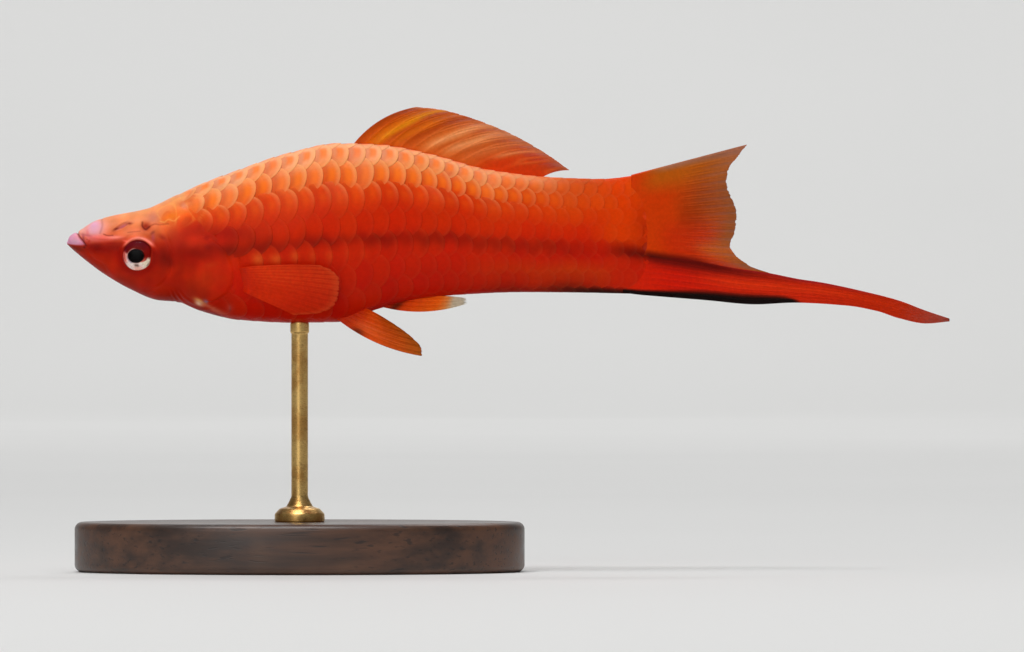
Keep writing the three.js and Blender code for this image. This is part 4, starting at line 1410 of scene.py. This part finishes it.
def skin_material():
    m = Shader("skin_wet")
    tone = m.colour_of("tone")
    mottle = m.noise(900, 4)
    speck = m.noise(5200, 2, 0.6)
    lively = m.adjust(tone, value=m.span(mottle, 0.3, 0.7, 0.95, 1.05))
    lively = m.adjust(lively, hue=m.span(m.noise(420, 2), 0.3, 0.7, 0.4997, 0.5012))
    warm = m.mix(m.span(speck, 0.56, 0.72, 0, 0.1), lively, rgb(255, 120, 40), "SOFT_LIGHT")
    pores = m.cells(3400)
    height = m.plus(m.times(speck, 0.5), m.span(pores, 0, 0.4, 0, 0.5))
    grain = m.bump(height, 0.00002, 0.5)
    soft = m.bump(m.noise(1300, 3), 0.00005, 0.4, grain)
    return m.finish(m.principled({
        "Base Color": warm,
        "Roughness": m.span(mottle, 0.25, 0.75, 0.32, 0.46),
        "Specular IOR Level": 0.035,
        "Subsurface Weight": 0.1,
        "Subsurface Radius": (1.0, 0.25, 0.1),
        "Subsurface Scale": 0.0005,
        "Coat Weight": 0.05,
        "Coat Roughness": 0.12,
        "Normal": soft,
    }))


def scale_material():
    """A scale's pale rear rim, a painted highlight, and its bright middle are strongest on the back."""
    m = Shader("scale_bony")
    tone = m.colour_of("tone")
    rear, across, chance = m.values_of("rear", "across", "chance")
    depth, along, settled = m.values_of("depth", "along", "settled")
    upper = m.times(m.span(depth, 0.38, 0.1), m.span(along, 64, 46, 0.05, 1))
    upper = m.times(upper, settled)
    strong = m.times(m.span(depth, 0.42, 0.2, 0.2, 1), m.span(along, 62, 44, 0.25, 1))
    strong = m.times(strong, settled)
    spread = m.span(strong, 0.1, 0.8, 0.035, 0.11)
    draw = m.math("SUBTRACT", m.math("FRACT", m.times(chance, 7.3)), 0.5)
    varied = m.adjust(
        tone,
        hue=m.span(chance, 0, 1, 0.4997, 0.501),
        value=m.plus(m.times(draw, spread), 1.0),
    )
    mottle = m.noise(2600, 3)
    varied = m.adjust(varied, value=m.span(mottle, 0.3, 0.7, 0.96, 1.04))
    from_core = m.math("ABSOLUTE", m.math("SUBTRACT", rear, 1.05))
    core = m.times(m.span(from_core, 0.7, 0.15), m.span(across, 0.6, 0.15))
    core_amount = m.times(core, m.plus(m.times(upper, 0.72), 0.01))
    bright = m.mix(core_amount, varied, rgb(255, 118, 22))
    # painted pink sheen on some scales, most on the back
    pink_sheen = m.times(m.span(chance, 0.55, 0.95), upper)
    bright = m.mix(m.times(pink_sheen, 0.2), bright, rgb(240, 130, 100))
    # painted highlight on the rear rim
    rim = m.span(rear, 0.8, 0.1)
    rim_highlight = m.times(rim, m.plus(m.times(upper, 0.46), 0.018))
    rimmed = m.mix(rim_highlight, bright, rgb(255, 172, 108))
    # painted shadow on the front of the scale, cast by the rim of the scale ahead
    shadow = m.span(rear, 0.95, 1.8)
    shade_amount = m.times(shadow, m.times(strong, 0.34))
    dark = m.mix(shade_amount, rimmed, rgb(176, 30, 4))
    circuli = m.math("SINE", m.times(rear, 62.0))
    height = m.plus(m.times(circuli, 0.35), m.noise(5200, 2))
    normal = m.bump(height, 0.000012, 0.6)
    return m.finish(m.principled({
        "Base Color": dark,
        "Roughness": m.span(m.noise(1800, 3), 0.3, 0.7, 0.3, 0.44),
        "Specular IOR Level": 0.035,
        "Subsurface Weight": 0.08,
        "Subsurface Radius": (1.0, 0.25, 0.1),
        "Subsurface Scale": 0.0004,
        "Coat Weight": 0.035,
        "Coat Roughness": 0.14,
        "Normal": normal,
    }))


def fin_material(name, segment=0.42):
    """Clear membrane between jointed rays."""
    m = Shader(name)
    tone = m.colour_of("tone")
    ray, run, clear = m.values_of("ray", "run", "clear")
    joints = m.math("SINE", m.times(run, 2 * math.pi / segment))
    joint = m.times(m.span(joints, 0.7, 1), m.span(ray, 0.45, 0.9))
    mottle = m.noise(2400, 3)
    varied = m.adjust(tone, value=m.span(mottle, 0.3, 0.7, 0.94, 1.06))
    marked = m.mix(m.times(joint, 0.1), varied, rgb(120, 26, 6))
    fibres = m.noise(9000, 2, 0.5, (0.15, 1, 1))
    height = m.plus(m.times(joint, -0.6), m.times(fibres, 0.5))
    normal = m.bump(height, 0.00001, 0.6)
    surface = m.principled({
        "Base Color": marked,
        "Roughness": m.span(mottle, 0.3, 0.7, 0.32, 0.5),
        "Specular IOR Level": 0.05,
        "Coat Weight": 0.03,
        "Coat Roughness": 0.2,
        "Alpha": m.math("SUBTRACT", 1.0, clear),
        "Normal": normal,
    })
    through = m.node("ShaderNodeBsdfTranslucent", {"Color": marked}).outputs[0]
    glow = m.span(clear, 0, 0.3, 0.03, 0.25)
    return m.finish(m.node("ShaderNodeMixShader", {0: glow, 1: surface, 2: through}).outputs[0])


def eye_material():
    m = Shader("eye_ball")
    tone = m.colour_of("tone")
    silver, pupil = m.values_of("silver", "pupil")
    fibres = m.noise(7000, 3, 0.6)
    varied = m.adjust(tone, value=m.span(fibres, 0.3, 0.7, 0.82, 1.18))
    return m.finish(m.principled({
        "Base Color": varied,
        "Metallic": m.times(silver, 0.06),
        "Roughness": m.span(pupil, 0, 1, 0.34, 0.2),
        "Specular IOR Level": 0.03,
        "Normal": m.bump(fibres, 0.00002, m.span(pupil, 0, 1, 0.6, 0.0)),
    }))


def cornea_material():
    """Clear, with only what its surface mirrors."""
    m = Shader("eye_cornea")
    smear = m.noise(1500, 2)
    mirror = m.node("ShaderNodeFresnel", {"IOR": 1.14}).outputs[0]
    return m.finish(m.principled({
        "Base Color": (1, 1, 1, 1),
        "Metallic": 1.0,
        "Roughness": m.span(smear, 0.2, 0.8, 0.02, 0.06),
        "Alpha": mirror,
    }))


def wood_material():
    m = Shader("walnut")
    flow = m.noise(60, 4, 0.6, (0.16, 1, 1))
    rings = m.noise(420, 5, 0.6, (0.05, 1, 1))
    pores = m.noise(2600, 2, 0.5, (0.04, 1, 1))
    figure = m.plus(m.times(flow, 0.45), m.times(rings, 0.55))
    ground = m.mix(m.span(figure, 0.38, 0.62), rgb(44, 27, 18), rgb(92, 58, 38))
    veined = m.mix(m.span(pores, 0.58, 0.7, 0, 0.7), ground, rgb(24, 14, 10))
    worn = m.mix(m.span(m.noise(140, 2), 0.5, 0.7, 0, 0.12), veined, rgb(130, 92, 64))
    height = m.math("SUBTRACT", rings, m.span(pores, 0.58, 0.7))
    return m.finish(m.principled({
        "Base Color": worn,
        "Roughness": m.span(rings, 0.3, 0.7, 0.34, 0.5),
        "Coat Weight": 0.25,
        "Coat Roughness": 0.22,
        "Normal": m.bump(height, 0.00006, 0.35),
    }))


def brass_material():
    m = Shader("brass_turned")
    turned = m.noise(1800, 3, 0.6, (1, 1, 14))
    patches = m.noise(420, 3)
    ground = m.mix(m.span(patches, 0.4, 0.65), rgb(214, 176, 108), rgb(186, 140, 78))
    dull = m.mix(m.span(m.noise(900, 4), 0.55, 0.75, 0, 0.5), ground, rgb(116, 84, 50))
    return m.finish(m.principled({
        "Base Color": dull,
        "Metallic": 1.0,
        "Roughness": m.span(turned, 0.3, 0.7, 0.24, 0.4),
        "Normal": m.bump(turned, 0.00002, 0.3),
    }))


def floor_material():
    m = Shader("studio_floor")
    haze = m.noise(2, 3)
    ground = m.mix(m.span(haze, 0.3, 0.7), rgb(216, 216, 215), rgb(219, 219, 218))
    return m.finish(m.principled({"Base Color": ground, "Roughness": 0.8}))


# The scene


def make_stage():
    """A floor that rises in a wide curve into a wall behind the fish."""
    line = [(y, 0) for y in np.linspace(-FLOOR_FRONT, FLOOR_BACK, 30)]
    for t in np.linspace(0, math.pi / 2, 28)[1:]:
        line.append((FLOOR_BACK + math.sin(t), 1 - math.cos(t)))
    line.append((FLOOR_BACK + 1, WALL_TOP))
    across = np.linspace(-FLOOR_HALF, FLOOR_HALF, 33)
    points = np.array([[(x, y, z) for x in across] for y, z in line]).reshape(-1, 3)
    floor = mesh_object("studio_floor", points, [grid_faces(len(line), len(across))])
    floor.data.materials.append(floor_material())


def add_light(name, place, target, size, power):
    light = bpy.data.lights.new(name, "AREA")
    light.shape = "DISK"
    light.size = size
    light.energy = power
    lamp = bpy.data.objects.new(name, light)
    bpy.context.scene.collection.objects.link(lamp)
    lamp.location = place
    way = np.array(target) - np.array(place)
    yaw = math.atan2(way[1], way[0])
    pitch_down = math.atan2(math.hypot(way[0], way[1]), -way[2])
    lamp.rotation_euler = (pitch_down, 0, yaw - math.pi / 2)


def make_lights():
    """Places, targets and sizes are in metres, and powers in watts."""
    add_light("key", (-0.15, -0.3, 1.0), (0, 0, 0.035), 0.6, 7.3)
    add_light("fill", (-0.35, -1.1, 0.45), (0, 0, 0.035), 0.9, 3.4)
    add_light("rim", (0.3, 0.6, 0.9), (0, 0, 0.035), 0.5, 1.6)
    add_light("wall", (0, 1.5, 1.9), (0, 3, 0.4), 1.6, 33)
    world = bpy.data.worlds.new("studio")
    world.use_nodes = True
    background = world.node_tree.nodes["Background"]
    background.inputs["Color"].default_value = (1, 1, 1, 1)
    background.inputs["Strength"].default_value = 0.2
    bpy.context.scene.world = world


def make_camera():
    """Level, square to the fish's left side, with the photograph's framing."""
    data = bpy.data.cameras.new("camera")
    data.sensor_width = 36
    data.lens = 36 * CAMERA_DISTANCE / FRAME_WIDTH
    data.clip_start = 0.01
    data.clip_end = 20
    camera = bpy.data.objects.new("camera", data)
    bpy.context.scene.collection.objects.link(camera)
    camera.location = (FRAME_CENTRE[0] / 1000, -CAMERA_DISTANCE / 1000, FRAME_CENTRE[1] / 1000)
    camera.rotation_euler = (math.pi / 2, 0, 0)
    bpy.context.scene.camera = camera


def rounded(corners, reach):
    """An outline whose corners are turned into short curves."""
    corners = np.array(corners, float)
    line = [corners[0]]
    for before, corner, after in zip(corners[:-2], corners[1:-1], corners[2:]):
        to_before = min(0.45, reach / np.linalg.norm(before - corner))
        to_after = min(0.45, reach / np.linalg.norm(after - corner))
        first = lerp(corner, before, to_before)
        last = lerp(corner, after, to_after)
        for t in np.linspace(0, 1, 7):
            line.append(lerp(lerp(first, corner, t), lerp(corner, last, t), t))
    return np.array(line + [corners[-1]])


def stand_piece(name, rings, material, slot, node):
    """A closed form from rings of (s, y, height over the floor) points."""
    count = len(rings[0])
    points = np.vstack(rings)
    faces = faces_outwards(points, [grid_faces(len(rings), count, closed=True)])
    piece = mesh_object(name, (points - [TOTAL_LENGTH / 2, 0, 0]) / 1000, faces)
    finish_piece(piece, material, slot, node)


def make_base(wood):
    """An oval board with rounded edges."""
    angle = full_turn(240)
    turns = np.linspace(0, math.pi / 2, 9)
    half = [(1, BASE_BEVEL * (1 - math.sin(t)), BASE_BEVEL * (1 - math.cos(t))) for t in turns]
    half = [(share, BASE_BEVEL, 0) for share in (0.001, 0.5, 0.97)] + half
    outline = half + [(share, inset, BASE_HEIGHT - z) for share, inset, z in reversed(half)]
    rings = []
    for share, inset, z in outline:
        s = ROD_S + share * (BASE_LENGTH / 2 - inset) * np.cos(angle)
        y = share * (BASE_WIDTH / 2 - inset) * np.sin(angle)
        rings.append(np.stack([s, y, z + 0 * s], -1))
    stand_piece("base_board", rings, wood, "wood", "stand_base")


def make_rod(brass):
    """A turned rod whose sleeved top is shaped to the belly."""
    angle = full_turn(96)
    rings = []
    for radius, z in rounded(ROD_OUTLINE, 0.16):
        s = ROD_S + radius * np.cos(angle)
        y = radius * np.sin(angle)
        power = full_below(s)
        fall = (1 - np.abs(y / half_width(s)) ** power) ** (1 / power)
        under = SNOUT_HEIGHT + widest(s) - (widest(s) - belly(s)) * fall
        follows = smooth(-1, 0, z - ROD_TOP)
        rings.append(np.stack([s, y, lerp(z + 0 * s, under + z - ROD_TOP, follows)], -1))
    stand_piece("turned_rod", rings, brass, "brass", "stand_rod")


make_camera()
bpy.context.scene.view_settings.view_transform = "Standard"
make_stage()
make_lights()

make_skin(skin_material())
scales = scale_material()
places = scale_places()
make_scales("scales_left", [p for p in places if -SCALE_ROWS <= p[0] < 0], scales)
make_scales("scales_right", [p for p in places if p[0] > 0], scales)
make_scales("scales_middle", [p for p in places if p[0] in (0, BELLY_ROW)], scales)

fins = fin_material("fin_clear")
make_fin(
    "dorsal_rays", "dorsal_fin", 13, dorsal_centre, dorsal_colour, fins, "fin",
    relief=0.055, notch=0.012,
)
make_fin(
    "caudal_rays", "caudal_fin", 15, caudal_centre, caudal_colour, fins, "fin",
    relief=0.06, root_extra=0.3, notch=0.008, plain_root=0.44, root_reach=0.6,
)
make_fin(
    "sword_rays", "sword", 8, sword_centre, sword_colour, fin_material("sword_rays", 0.5), "sword",
    size=(120, 20), membrane=0.36, relief=0.06, splits=(0.5, 0.9), taper=0.5, notch=0,
)
make_fin(
    "anal_rays", "anal_fin", 5, anal_centre, anal_colour, fins, "fin",
    size=(60, 20), membrane=0.34, taper=0.3,
)
for side, name in SIDES:
    make_fin(
        "pectoral_rays_" + name, "pectoral_fin_" + name, 13, pectoral_centre(side), pectoral_colour,
        fins, "fin", size=(50, 20), membrane=0.12, relief=0.014, root_extra=0.1, notch=0.012,
    )
    make_fin(
        "pelvic_rays_" + name, "pelvic_fin_" + name, 7, pelvic_centre(side), pelvic_colour,
        fins, "fin", size=(44, 20), membrane=0.12, relief=0.08, notch=0.01,
    )

eyes = eye_material()
corneas = cornea_material()
for side, name in SIDES:
    make_eye(side, name, eyes, corneas)

make_base(wood_material())
make_rod(brass_material())
